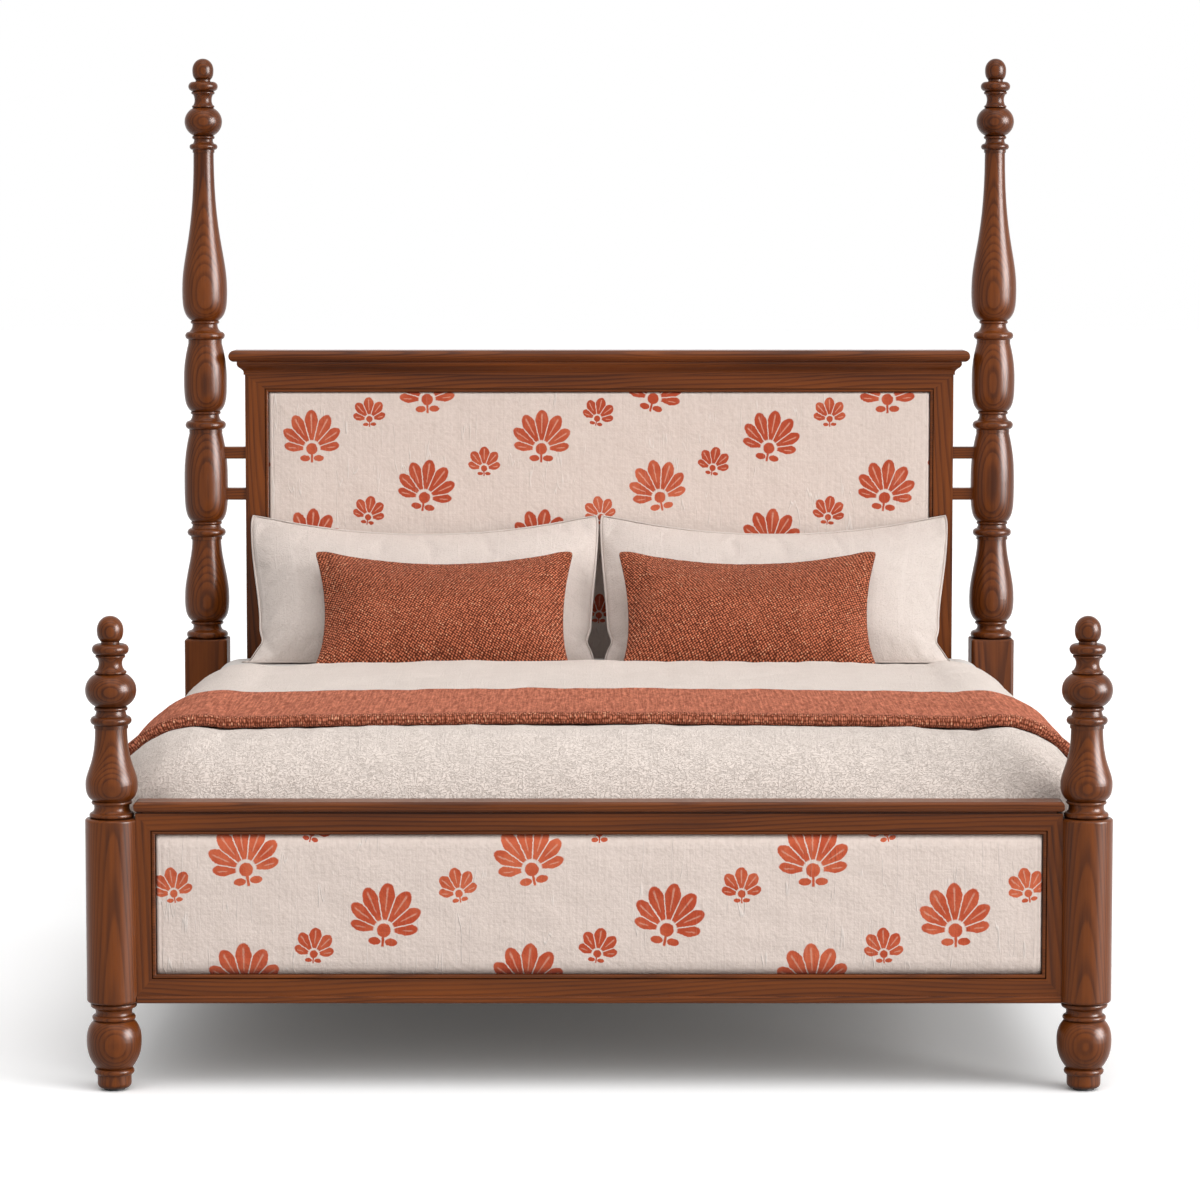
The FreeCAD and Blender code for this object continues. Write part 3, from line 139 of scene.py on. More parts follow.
class Nodes:
    """Nodes of one tree, with sums written as arithmetic on fields."""

    def __init__(self, tree: bpy.types.NodeTree) -> None:
        """Start from an empty tree."""
        self.tree = tree
        self.tree.nodes.clear()

    def feed(self, socket: Socket, value: object) -> None:
        """Set a socket to a plain value, or link a field or another socket to it.

        Args:
            socket: the socket.
            value: number, colour, field or socket.
        """
        if isinstance(value, Field):
            value = value.socket
        if isinstance(value, Socket):
            self.tree.links.new(value, socket)
        else:
            socket.default_value = (*value, 1.0) if socket.type == "RGBA" else value

    def add(self, kind: str, **inputs: object) -> bpy.types.Node:
        """Add a node and feed its inputs.

        Args:
            kind: kind of node.
            inputs: values by the input's name, with underscores for its spaces.

        Returns:
            The node.
        """
        node = self.tree.nodes.new("ShaderNode" + kind)
        for name, value in inputs.items():
            self.feed(node.inputs[name.replace("_", " ")], value)
        return node

    def math(self, operation: str, *values: Number) -> Field:
        """One sum.

        Args:
            operation: name of the sum.
            values: fields or plain numbers.

        Returns:
            The result.
        """
        node = self.add("Math")
        node.operation = operation
        for socket, value in zip(node.inputs, values):
            self.feed(socket, value)
        return Field(self, node.outputs["Value"])

    def most(self, *values: Number) -> Field:
        """Greatest of several fields."""
        return reduce(partial(self.math, "MAXIMUM"), values)


class Surface(Nodes):
    """Node tree of one finish: textures, sums on them and the closing shader."""

    def __init__(self, name: str) -> None:
        """Start a material that holds only its shader and output."""
        self.material = bpy.data.materials.new(name)
        self.material.use_nodes = True
        super().__init__(self.material.node_tree)
        self.shader = self.add("BsdfPrincipled")
        self.add("OutputMaterial", Surface=self.shader.outputs["BSDF"])

    def place(self, cloth: bool = False, axes: str = "XYZ") -> Tuple[Field, ...]:
        """Coordinates of a point, in metres.

        Args:
            cloth: on the cloth as it was cut, and not in the bed's frame.
            axes: which axes to give, in order.

        Returns:
            The coordinates.
        """
        source = self.add("TexCoord").outputs["UV" if cloth else "Object"]
        split = self.add("SeparateXYZ", Vector=source)
        return tuple(Field(self, split.outputs[axis]) for axis in axes)

    def vector(self, *place: Number) -> Socket:
        """Two or three numbers as one place in a texture."""
        return self.add("CombineXYZ", **dict(zip("XYZ", place))).outputs["Vector"]

    def noise(
        self,
        place: Sequence[Field],
        scale: Union[float, Sequence[float], None] = None,
        detail: float = 2.0,
        rough: float = 0.5,
    ) -> Field:
        """Cloudy noise.

        Args:
            place: two or three coordinates.
            scale: clouds to a metre, alike or axis by axis; none where the place is scaled.
            detail: how many finer layers it has.
            rough: how strong they are.

        Returns:
            The noise, about 0.5 in the mean.
        """
        if scale is not None:
            scales = (scale,) * len(place) if isinstance(scale, float) else scale
            place = [field * number for field, number in zip(place, scales)]
        vector = self.vector(*place)
        node = self.add("TexNoise", Vector=vector, Scale=1.0, Detail=detail, Roughness=rough)
        return Field(self, node.outputs["Fac"])

    def nubs(self, place: Sequence[Field], scatter: float) -> Tuple[Field, Field]:
        """Round nubs, one to a unit.

        Args:
            place: two coordinates.
            scatter: how far the nubs stray from their rows.

        Returns:
            Distance from the nub's middle, and a chance for each nub.
        """
        node = self.add("TexVoronoi", Vector=self.vector(*place), Scale=1.0, Randomness=scatter)
        split = self.add("SeparateColor", Color=node.outputs["Color"])
        return Field(self, node.outputs["Distance"]), Field(self, split.outputs["Red"])

    def openness(self, reach: float) -> Field:
        """How open the surface is around a point.

        Args:
            reach: how far around to feel, in metres.

        Returns:
            1 on an open face, less in a groove.
        """
        node = self.add("AmbientOcclusion", Distance=reach)
        node.samples = 6
        return Field(self, node.outputs["AO"])

    def chance(self, x: Field, y: Field) -> Field:
        """A fixed random number for each whole place.

        Args:
            x: first whole number.
            y: second whole number.

        Returns:
            A number from 0 to 1.
        """
        node = self.add("TexWhiteNoise")
        node.noise_dimensions = "2D"
        self.feed(node.inputs["Vector"], self.vector(x, y))
        return Field(self, node.outputs["Value"])

    def mix(self, share: Number, first: object, second: object) -> Socket:
        """Blend of two colours.

        Args:
            share: how much of the second.
            first: a colour, or the socket that carries it.
            second: the other one.

        Returns:
            The socket that carries the blend.
        """
        node = self.add("Mix")
        node.data_type = "RGBA"
        sockets = (node.inputs["Factor"], *(s for s in node.inputs if s.type == "RGBA"))
        for socket, value in zip(sockets, (share, first, second)):
            self.feed(socket, value)
        return next(socket for socket in node.outputs if socket.type == "RGBA")

    def relief(self, height: Field, depth: float, strength: float) -> None:
        """Raise and sink the surface.

        Args:
            height: the relief, in units of its depth.
            depth: its depth in metres.
            strength: how much of it shows.
        """
        bump = self.add("Bump", Strength=strength, Distance=depth, Height=height)
        self.feed(self.shader.inputs["Normal"], bump.outputs["Normal"])

    def close(self, colour: object, rough: Number, gloss: float, sheen: float = 0.0) -> Material:
        """Finish the material.

        Args:
            colour: colour, or the socket that carries it.
            rough: roughness.
            gloss: specular level.
            sheen: weight of the fabric's sheen.

        Returns:
            The material.
        """
        settings = {"Base Color": colour, "Roughness": rough, "Specular IOR Level": gloss}
        settings |= {"Sheen Weight": sheen, "Sheen Roughness": SHEEN_ROUGHNESS}
        for name, value in settings.items():
            self.feed(self.shader.inputs[name], value)
        return self.material


def darker(colour: Colour, share: float) -> Colour:
    """A colour at a share of its brightness."""
    return tuple(part * share for part in colour)


@dataclass(frozen=True)
class Walnut:
    """Dark red-brown stained wood under a satin lacquer."""

    name: str
    grain: Grain
    heart: Tuple[float, float]
    seed: float
    slope: float
    tone: float
    polish: float
    dark: Colour = (0.041, 0.0082, 0.0010)
    light: Colour = (0.238, 0.0590, 0.0078)
    ring: float = 0.0040
    wander: float = 0.03
    # reach, in metres, within which closed-in grooves get their glazing and painted shade
    groove: float = 0.022
    gloss: float = 0.2

    def material(self) -> Material:
        """Growth rings round the tree's heart, streaks and pores along the grain, glazing and painted shade
        in grooves.

        Returns:
            The material.
        """
        wood = Surface(self.name)
        run, across, deep = wood.place(axes=self.grain.value)
        place = (across, deep, run + self.seed)
        aside = wood.noise(place, (5.0, 5.0, 1.6)) - 0.5
        back = wood.noise((across + 1.75, *place[1:]), (4.0, 4.0, 1.1), 1.0) - 0.5
        heart_x = across - self.heart[0] + aside * self.wander
        heart_y = deep - self.heart[1] + back * self.wander + run * self.slope
        radius = (heart_x * heart_x + heart_y * heart_y).call("SQRT")
        growth = (radius / self.ring).call("FRACT")
        band = growth.ramp(0.35, 0.84) * growth.ramp(1.0, 0.86)
        streak = wood.noise(place, (70.0, 70.0, 2.2), 3.0, 0.6)
        cloud = wood.noise(place, (9.0, 9.0, 2.0), 1.0)
        pits = wood.noise(place, (700.0, 700.0, 16.0), 2.0, 0.6).ramp(0.62, 0.74)
        tone = self.tone - band * 0.28 + (streak - 0.5) * 0.8 + (cloud - 0.5) * 0.6
        colour = wood.mix(tone.ramp(-0.1, 1.1), self.dark, self.light)
        colour = wood.mix(pits * 0.4, colour, darker(self.dark, 0.6))
        # Painted shade: where the surface is closed in, as in grooves, the colour is taken far darker,
        # partly as pooled glazing and partly as shade.
        glaze_and_shade = wood.openness(self.groove).ramp(0.80, 0.30)
        colour = wood.mix(glaze_and_shade * 0.72, colour, darker(self.dark, 0.35))
        wood.relief(pits * -1.0 + streak * 0.2, 0.0003, 0.35)
        rough = (streak - 0.5) * 0.06 + pits * 0.1 + glaze_and_shade * 0.2 + (1.0 - self.polish)
        return wood.close(colour, rough, self.gloss)


@dataclass(frozen=True)
class PlainWood:
    """Planed wood with no stain, for the pieces inside the bed."""

    name: str
    grain: Grain
    dark: Colour
    light: Colour

    def material(self) -> Material:
        """Streaks along the grain on a pale ground.

        Returns:
            The material.
        """
        wood = Surface(self.name)
        run, across, deep = wood.place(axes=self.grain.value)
        broad = wood.noise((across, deep, run), (45.0, 45.0, 2.0), 3.0)
        fine = wood.noise((across, deep, run), (400.0, 400.0, 9.0))
        tone = broad * 0.8 + fine * 0.35 - 0.08
        wood.relief(fine, 0.0003, 0.3)
        return wood.close(wood.mix(tone.ramp(0.2, 0.8), self.dark, self.light), 0.62, 0.25)


@dataclass(frozen=True)
class Hardware:
    """Plated steel or plain black plastic."""

    name: str
    colour: Colour
    metal: float
    rough: float

    def material(self) -> Material:
        """Even ground with fine handling marks.

        Returns:
            The material.
        """
        plate = Surface(self.name)
        marks = plate.noise(plate.place(), 160.0, 3.0)
        shade = plate.mix(marks.ramp(0.3, 0.7), darker(self.colour, 0.82), self.colour)
        plate.feed(plate.shader.inputs["Metallic"], self.metal)
        plate.relief(marks, 0.0002, 0.2)
        return plate.close(shade, self.rough + (marks - 0.5) * 0.2, 0.4)


@dataclass(frozen=True)
class PrintedLinen:
    """Cream linen with slubs and a coral block print of leaf fans."""

    name: str
    ground: Colour = (0.780, 0.665, 0.600)
    slub: Colour = (0.600, 0.490, 0.425)
    ridge: Colour = (0.83, 0.76, 0.71)
    ink: Colour = (0.465, 0.062, 0.021)
    pale_ink: Colour = (0.595, 0.125, 0.055)
    vein: Colour = (0.80, 0.46, 0.34)
    pitch: Tuple[float, float] = (0.292, 0.250)
    bleed: float = 0.003

    def fan(self, linen: Surface, leaves: int, x: Field, z: Field) -> Tuple[Field, Field]:
        """One leaf fan on a short stem.

        Args:
            linen: the cloth.
            leaves: how many leaves the fan has.
            x: place across the fan, in its own half-widths.
            z: place up the fan.

        Returns:
            Where the ink lies, and where its pale veins lie.
        """
        up = z + 0.62
        aside = x.call("ABSOLUTE")
        radius = (x * x + up * up).call("SQRT")
        angle = linen.math("ARCTAN2", x, up)
        slot = (angle * (leaves / 3.5) + 0.5).call("FRACT") - 0.5
        from_rib = slot.call("ABSOLUTE")
        tip = (1.52 - angle * angle * 0.20) * (1.0 - slot * slot * 1.1)
        leaf = (tip - radius).ramp(0.0, 0.05) * radius.ramp(0.30, 0.36)
        leaf = leaf * ((0.5 - from_rib) * radius).ramp(0.015, 0.055)
        leaf = leaf * angle.call("ABSOLUTE").ramp(1.78, 1.74)
        seed = radius.ramp(0.235, 0.205)
        stem = aside.ramp(0.055, 0.03) * (up + 0.55).ramp(0.0, 0.05) * up.ramp(-0.18, -0.22)
        curl_x, curl_z = aside - 0.26, up + 0.36
        curl = (curl_x * curl_x + curl_z * curl_z * 2.6).call("SQRT").ramp(0.21, 0.18)
        vein = from_rib.ramp(0.07, 0.03) * radius.ramp(0.55, 0.65) * (tip - radius).ramp(0.12, 0.24)
        return linen.most(leaf, seed, stem, curl), vein

    def scattered(self, linen: Surface, motif: Motif, x: Field, z: Field) -> Tuple[Field, Field, Field]:
        """Half-drop rows of one fan.

        Args:
            linen: the cloth.
            motif: which fan.
            x: place across the cloth.
            z: place up the cloth.

        Returns:
            Its ink, its veins and a chance for each print of the block.
        """
        leaves, size, aside, up = motif.value
        wide, high = self.pitch
        columns = (x + wide * aside) / wide
        column = columns.call("FLOOR")
        rows = (z + high * up) / high + (column * 0.5).call("FRACT")
        chance = linen.chance(column, rows.call("FLOOR"))
        local_x = (columns.call("FRACT") - 0.5) * (wide / size)
        local_z = (rows.call("FRACT") - 0.5) * (high / size)
        lean = (chance - 0.5) * 0.5
        ink, vein = self.fan(linen, leaves, local_x + local_z * lean, local_z - local_x * lean)
        return ink, vein, chance

    def material(self) -> Material:
        """Weave, slubs and the print.

        Returns:
            The material.
        """
        linen = Surface(self.name)
        place = linen.place()
        slubs = linen.noise(place, (260.0, 60.0, 5.0), 3.0, 0.6)
        threads = linen.noise(place, (6.0, 6.0, 420.0))
        flecks = linen.noise(place, (55.0, 55.0, 90.0)).ramp(0.66, 0.74)
        crease = linen.noise(place, (30.0, 8.0, 3.2))
        broken = linen.noise(place, (12.0, 12.0, 14.0), 1.0).ramp(0.5, 0.62)
        ridge = (crease - 0.5).call("ABSOLUTE").ramp(0.012, 0.0) * broken
        mottle = linen.noise(place, 95.0, 4.0, 0.6)
        tone = slubs.ramp(0.35, 0.75) * 0.22 + flecks * 0.3 + (threads - 0.5) * 0.15 + (mottle - 0.42) * 0.9
        colour = linen.mix(tone, self.ground, self.slub)
        colour = linen.mix(ridge * 0.55, colour, self.ridge)
        wash = linen.noise(place, 24.0, 3.0)
        worn = slubs.ramp(0.82, 0.55) * 0.12 + 0.86
        stray = (linen.noise(place, 160.0) - 0.5) * self.bleed
        for motif in Motif:
            ink, vein, chance = self.scattered(linen, motif, place[0] + stray, place[2] + stray)
            shade = wash * 1.3 - 0.3 + (chance - 0.5) * 0.5
            paint = linen.mix(shade.ramp(0.1, 0.75), self.ink, self.pale_ink)
            colour = linen.mix(ink * worn, colour, linen.mix(vein * 0.55, paint, self.vein))
        linen.relief(slubs * 0.3 + threads * 0.15 + ridge * 0.5 + mottle * 1.1, 0.0024, 0.7)
        return linen.close(colour, 0.86, 0.0, 0.1)


@dataclass(frozen=True)
class Cotton:
    """Cream cotton, crinkled in the wash, with painted shade along its crease lines."""

    name: str
    ground: Colour
    # darker end of the tone, taken by the weave's random marks and by the painted shade in the creases
    hollow: Colour
    crinkle: float
    depth: float
    lines: float = 0.0
    # length from the foot hem over which the crinkles deepen and the cloth is painted darker as shade; 0
    # for none
    gathered_and_shaded: float = 0.0

    def material(self) -> Material:
        """Crinkles that run with the cloth's length, on a fine weave, with painted shade along their crease
        lines and, on a set stretch next to the foot hem, deeper crinkles and more painted shade.

        Returns:
            The material.
        """
        cotton = Surface(self.name)
        u, v = cotton.place(cloth=True, axes="XY")
        fine = self.crinkle
        drift = cotton.noise((u, v), 22.0)
        crimp = cotton.noise((u * fine * 0.7 + drift * 3.0, v * fine + drift * 4.0))
        # Crease lines of the crinkles: sunk in the relief, and painted darker as shade through the tone
        # below.
        fold = (crimp - 0.5).call("ABSOLUTE").ramp(0.05, 0.0)
        weave = cotton.noise((u * fine * 2.0 + drift * 2.0, v * fine * 1.7), rough=0.6)
        slub = cotton.noise((u, v), (fine * 1.3, 6.0)).ramp(0.58, 0.72)
        seam = (cotton.noise((u, v), (21.0, 1.1), 1.0) - 0.5).call("ABSOLUTE").ramp(0.010, 0.0) * self.lines
        # Painted shade: next to the foot hem the crinkles deepen and the cloth is painted darker, most of
        # all along the crease lines.
        crinkle_and_shade = v.ramp(self.gathered_and_shaded, 0.0, 0.4, 1.0) if self.gathered_and_shaded else 0.5
        tone = (fold + 0.1) * crinkle_and_shade * 0.4 + (weave - 0.5) + (drift - 0.5) * 0.2 - slub * 0.15 - seam + 0.05
        height = weave * 0.7 + (crimp - fold * 0.5) * crinkle_and_shade * 1.5 + slub * 0.3 + seam
        cotton.relief(height, self.depth, 0.8)
        return cotton.close(cotton.mix(tone.ramp(-0.1, 0.7), self.ground, self.hollow), 0.9, 0.0, 0.12)


@dataclass(frozen=True)
class NubbyWeave:
    """Terracotta yarn woven into rows of small nubs."""

    name: str
    # colour of the painted shade in the gaps between nubs
    gap_shade: Colour = (0.100, 0.023, 0.011)
    yarn: Colour = (0.735, 0.218, 0.110)
    dull_yarn: Colour = (0.33, 0.085, 0.041)
    worn: Colour = (0.52, 0.155, 0.080)
    glint: Colour = (0.900, 0.460, 0.270)
    pitch: Tuple[float, float] = (0.0072, 0.00576)

    def material(self) -> Material:
        """Slanting rows of nubs with painted shade in the gaps between them, and a painted glint on a few
        of them.

        Returns:
            The material.
        """
        weave = Surface(self.name)
        u, v = weave.place(cloth=True, axes="XY")
        drift = weave.noise((u, v), 30.0)
        row = (u * 0.87 + v * 0.50) / self.pitch[0] + drift * 0.9
        rank = (v * 0.87 - u * 0.50) / self.pitch[1] + drift * 0.7
        distance, chance = weave.nubs((row, rank), 0.3)
        # Painted shade: the gaps between the nubs take a far darker colour.
        body = distance.ramp(0.55, 0.17)
        colour = weave.mix(body, self.gap_shade, weave.mix(chance * 0.3, self.yarn, self.dull_yarn))
        # Painted highlight: a few nubs take a bright glint colour.
        bright = chance.ramp(0.83, 0.91) * distance.ramp(0.42, 0.1)
        colour = weave.mix(bright * 0.8, colour, self.glint)
        patch = weave.noise((u, v), 9.0)
        colour = weave.mix(patch.ramp(0.45, 0.85) * 0.2, colour, self.worn)
        weave.relief(body, 0.0017, 0.9)
        return weave.close(colour, 0.92, 0.0, 0.06)


@dataclass(frozen=True)
class ThrowWeave:
    """Terracotta throw: a soft flat weave, knitted heavier along its folded front edge."""

    name: str
    fold_at: float
    yarn: Colour = (0.685, 0.226, 0.128)
    shade: Colour = (0.285, 0.072, 0.035)
    # colour of the painted shade in the gaps between knit stitches
    gap_shade: Colour = (0.150, 0.035, 0.016)
    glint: Colour = (0.900, 0.480, 0.290)
    band: float = 0.026
    stitch: Tuple[float, float] = (0.0058, 0.0046)

    def material(self) -> Material:
        """Flat weave on the faces and ribbed knit round the fold, with painted shade between the stitches
        and a painted glint on a few of them.

        Returns:
            The material.
        """
        weave = Surface(self.name)
        u, v = weave.place(cloth=True, axes="XY")
        drift = weave.noise((u, v), (40.0, 26.0))
        line = weave.noise((u, v), (7.0, 175.0), 2.0, 0.6).ramp(0.36, 0.64)
        lump = weave.noise((u * 22.0 + drift, v * 125.0 + drift * 5.0), None, 3.0, 0.6).ramp(0.36, 0.64)
        edge = (u - self.fold_at).call("ABSOLUTE").ramp(self.band, self.band * 0.72)
        stitches = (u / self.stitch[0] + drift * 0.7, v / self.stitch[1] + drift)
        distance, chance = weave.nubs(stitches, 0.5)
        knot = distance.ramp(0.74, 0.22)
        flat = weave.mix(line * 0.45 + lump * 0.55, self.shade, self.yarn)
        # Painted shade: the gaps between the knit stitches take a far darker colour.
        knit = weave.mix(knot, self.gap_shade, weave.mix(chance * 0.5, self.yarn, self.shade))
        # Painted highlight: a few stitches take a bright glint colour.
        bright = chance.ramp(0.76, 0.88) * distance.ramp(0.5, 0.1)
        knit = weave.mix(bright * 0.85, knit, self.glint)
        height = (line * 0.5 + lump * 0.9) * (1.0 - edge) + knot * edge * 1.6
        weave.relief(height, 0.0026, 0.85)
        return weave.close(weave.mix(edge, flat, knit), 0.92, 0.0, 0.06)


@dataclass(frozen=True)
class Ticking:
    """Plain pale cotton of the mattress and its foundation."""

    name: str
    ground: Colour
    hollow: Colour

    def material(self) -> Material:
        """Fine weave with soft wash marks.

        Returns:
            The material.
        """
        ticking = Surface(self.name)
        place = ticking.place()
        wash = ticking.noise(place, 7.0, 3.0)
        rumple = ticking.noise(place, (60.0, 34.0, 60.0), 3.0)
        weave = ticking.noise(place, 800.0, 1.0)
        tone = (wash - 0.5) * 0.9 + (rumple - 0.5) * 0.5 + 0.35
        ticking.relief(rumple + weave * 0.12, 0.0014, 0.6)
        return ticking.close(ticking.mix(tone.ramp(0.0, 0.9), self.ground, self.hollow), 0.9, 0.0, 0.1)


class Outline:
    """Open line in a plane that is walked by its length."""

    normal_step = 0.004

    def __init__(self, points: Sequence[Sequence[float]]) -> None:
        """Keep the points and how far along each one lies.

        Args:
            points: the line's points.
        """
        self.points = np.array(points, float)
        steps = np.linalg.norm(np.diff(self.points, axis=0), axis=1)
        self.runs = np.concatenate([[0.0], np.cumsum(steps)])

    @property
    def length(self) -> float:
        """Length of the whole line."""
        return float(self.runs[-1])

    def at(self, run: Points) -> Pair:
        """Both coordinates of the points at given lengths along the line."""
        return tuple(np.interp(run, self.runs, self.points[:, axis]) for axis in (0, 1))

    def normal(self, run: Points) -> Pair:
        """Unit normal to the left of the way walked.

        Args:
            run: lengths along the line.

        Returns:
            Both parts of the normal.
        """
        before, after = self.at(run - self.normal_step), self.at(run + self.normal_step)
        across, up = after[0] - before[0], after[1] - before[1]
        size = np.maximum(np.hypot(across, up), TINY)
        return -up / size, across / size


def arc(start: Sequence[float], middle: Sequence[float], end: Sequence[float], count: int) -> List[Points]:
    """Points on the circle through three points.

    Args:
        start: first point.
        middle: a point that the arc passes.
        end: last point.
        count: how many points to give.

    Returns:
        The points, start and end included.
    """
    a, b, c = (complex(*point) for point in (start, middle, end))
    w = (c - a) / (b - a)
    centre = (b - a) * (w - abs(w) ** 2) / (2j * w.imag) + a
    turn = np.angle((b - centre) / (a - centre)) + np.angle((c - centre) / (b - centre))
    spots = [centre + (a - centre) * np.exp(1j * turn * step / (count - 1)) for step in range(count)]
    return [np.array([spot.real, spot.imag]) for spot in spots]


def waves(u: Points, v: Points, seed: int, count: int, low: float, high: float) -> Points:
    """Soft wrinkles: a sum of plane waves of chosen lengths.

    Args:
        u: first coordinate in metres.
        v: second coordinate in metres.
        seed: picks the waves.
        count: how many waves.
        low: shortest wave in metres.
        high: longest wave in metres.

    Returns:
        Heights of about one unit.
    """
    chosen = np.random.default_rng(seed)
    total = np.zeros_like(u)
    for _ in range(count):
        angle, phase = chosen.uniform(0.0, math.pi), chosen.uniform(0.0, 2 * math.pi)
        number = 2 * math.pi / math.exp(chosen.uniform(math.log(low), math.log(high)))
        total += np.sin(number * (u * math.cos(angle) + v * math.sin(angle)) + phase)
    return total / math.sqrt(count)


def smooth(value: Points, low: float, high: float) -> Points:
    """Smooth step from 0 at low to 1 at high."""
    share = np.clip((value - low) / (high - low), 0.0, 1.0)
    return share * share * (3.0 - 2.0 * share)


def bump(value: Points, width: float) -> Points:
    """Bell of height 1 round zero."""
    return np.exp(-((value / width) ** 2))


def alone(piece: Object) -> None:
    """Select one object, and nothing else, and make it the active one.

    Args:
        piece: the object.
    """
    bpy.ops.object.select_all(action="DESELECT")
    piece.select_set(True)
    bpy.context.view_layer.objects.active = piece


@contextmanager
def editing(piece: Object, action: str = "SELECT") -> Iterator[None]:
    """Edit mode on one piece, and back.

    Args:
        piece: the piece.
        action: SELECT to start with all of it selected, DESELECT with nothing.

    Yields:
        Nothing.
    """
    alone(piece)
    bpy.ops.object.mode_set(mode="EDIT")
    bpy.ops.mesh.select_all(action=action)
    yield
    bpy.ops.object.mode_set(mode="OBJECT")


def read_points(piece: Object) -> Points:
    """Points of a mesh.

    Args:
        piece: the piece.

    Returns:
        Rows of three.
    """
    values = np.zeros(len(piece.data.vertices) * 3)
    piece.data.vertices.foreach_get("co", values)
    return values.reshape(-1, 3)


def write_points(piece: Object, points: Points) -> None:
    """Move the points of a mesh."""
    piece.data.vertices.foreach_set("co", np.ascontiguousarray(points, float).ravel())
    piece.data.update()


def sheet_grid(
    name: str,
    cells: Tuple[int, int],
    form: Callable[[Points, Points], Rows],
    cut: Optional[Callable[[Points, Points], Pair]] = None,
) -> Object:
    """Grid whose points are laid out by a form.

    Args:
        name: name of the piece.
        cells: cells in both directions.
        form: gives the points for places from -1 to 1 in both directions.
        cut: gives the place on the cut cloth in metres, for the weave.

    Returns:
        The grid.
    """
    bpy.ops.object.select_all(action="DESELECT")
    across, along = cells
    bpy.ops.mesh.primitive_grid_add(x_subdivisions=across, y_subdivisions=along, size=2.0, calc_uvs=True)
    piece = bpy.context.active_object
    piece.name = piece.data.name = name
    flat = read_points(piece)
    write_points(piece, np.stack(form(flat[:, 0], flat[:, 1]), axis=1))
    if cut is not None:
        places = np.stack(cut(flat[:, 0], flat[:, 1]), axis=1)
        corners = np.zeros(len(piece.data.loops), np.int32)
        piece.data.loops.foreach_get("vertex_index", corners)
        piece.data.uv_layers.active.data.foreach_set("uv", places[corners].astype(np.float32).ravel())
    return piece


def delete_points(piece: Object, chosen: Points) -> None:
    """Delete points of a mesh and the faces on them.

    Args:
        piece: the piece.
        chosen: which points.
    """
    with editing(piece, "DESELECT"):
        bpy.ops.mesh.select_mode(type="VERT")
    piece.data.vertices.foreach_set("select", chosen)
    bpy.ops.object.mode_set(mode="EDIT")
    bpy.ops.mesh.delete(type="VERT")
    bpy.ops.object.mode_set(mode="OBJECT")


def join(pieces: Sequence[Object], name: str) -> Object:
    """Join pieces into the first, merge the points that meet and turn every face outwards.

    Args:
        pieces: the pieces.
        name: name of the whole.

    Returns:
        The whole.
    """
    alone(pieces[0])
    for piece in pieces[1:]:
        piece.select_set(True)
    bpy.ops.object.join()
    whole = bpy.context.active_object
    whole.name = whole.data.name = name
    with editing(whole):
        bpy.ops.mesh.remove_doubles(threshold=SEAM_MERGE)
        bpy.ops.mesh.normals_make_consistent(inside=False)
    return whole


def apply(piece: Object, kind: str, **settings: object) -> None:
    """Add a modifier and apply it.

    Args:
        piece: the piece.
        kind: kind of modifier.
        settings: its settings.
    """
    alone(piece)
    modifier = piece.modifiers.new(kind.title(), kind)
    for key, value in settings.items():
        setattr(modifier, key, value)
    bpy.ops.object.modifier_apply(modifier=modifier.name)


def paint(piece: Object, material: Material) -> None:
    """Give a piece one finish."""
    piece.data.materials.clear()
    piece.data.materials.append(material)


def hand_in(
    piece: Object, material: Material, node: Optional[str] = None
) -> Object:
    """Args:
        piece: the piece.
        material: its cloth.
        node: solid that it stands for.

    Returns:
        The piece.
    """
    paint(piece, material)
    alone(piece)
    bpy.ops.object.shade_smooth()
    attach(piece, BED)
    if node is not None:
        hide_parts(node)
    LOG.info("%s", piece.name)
    return piece


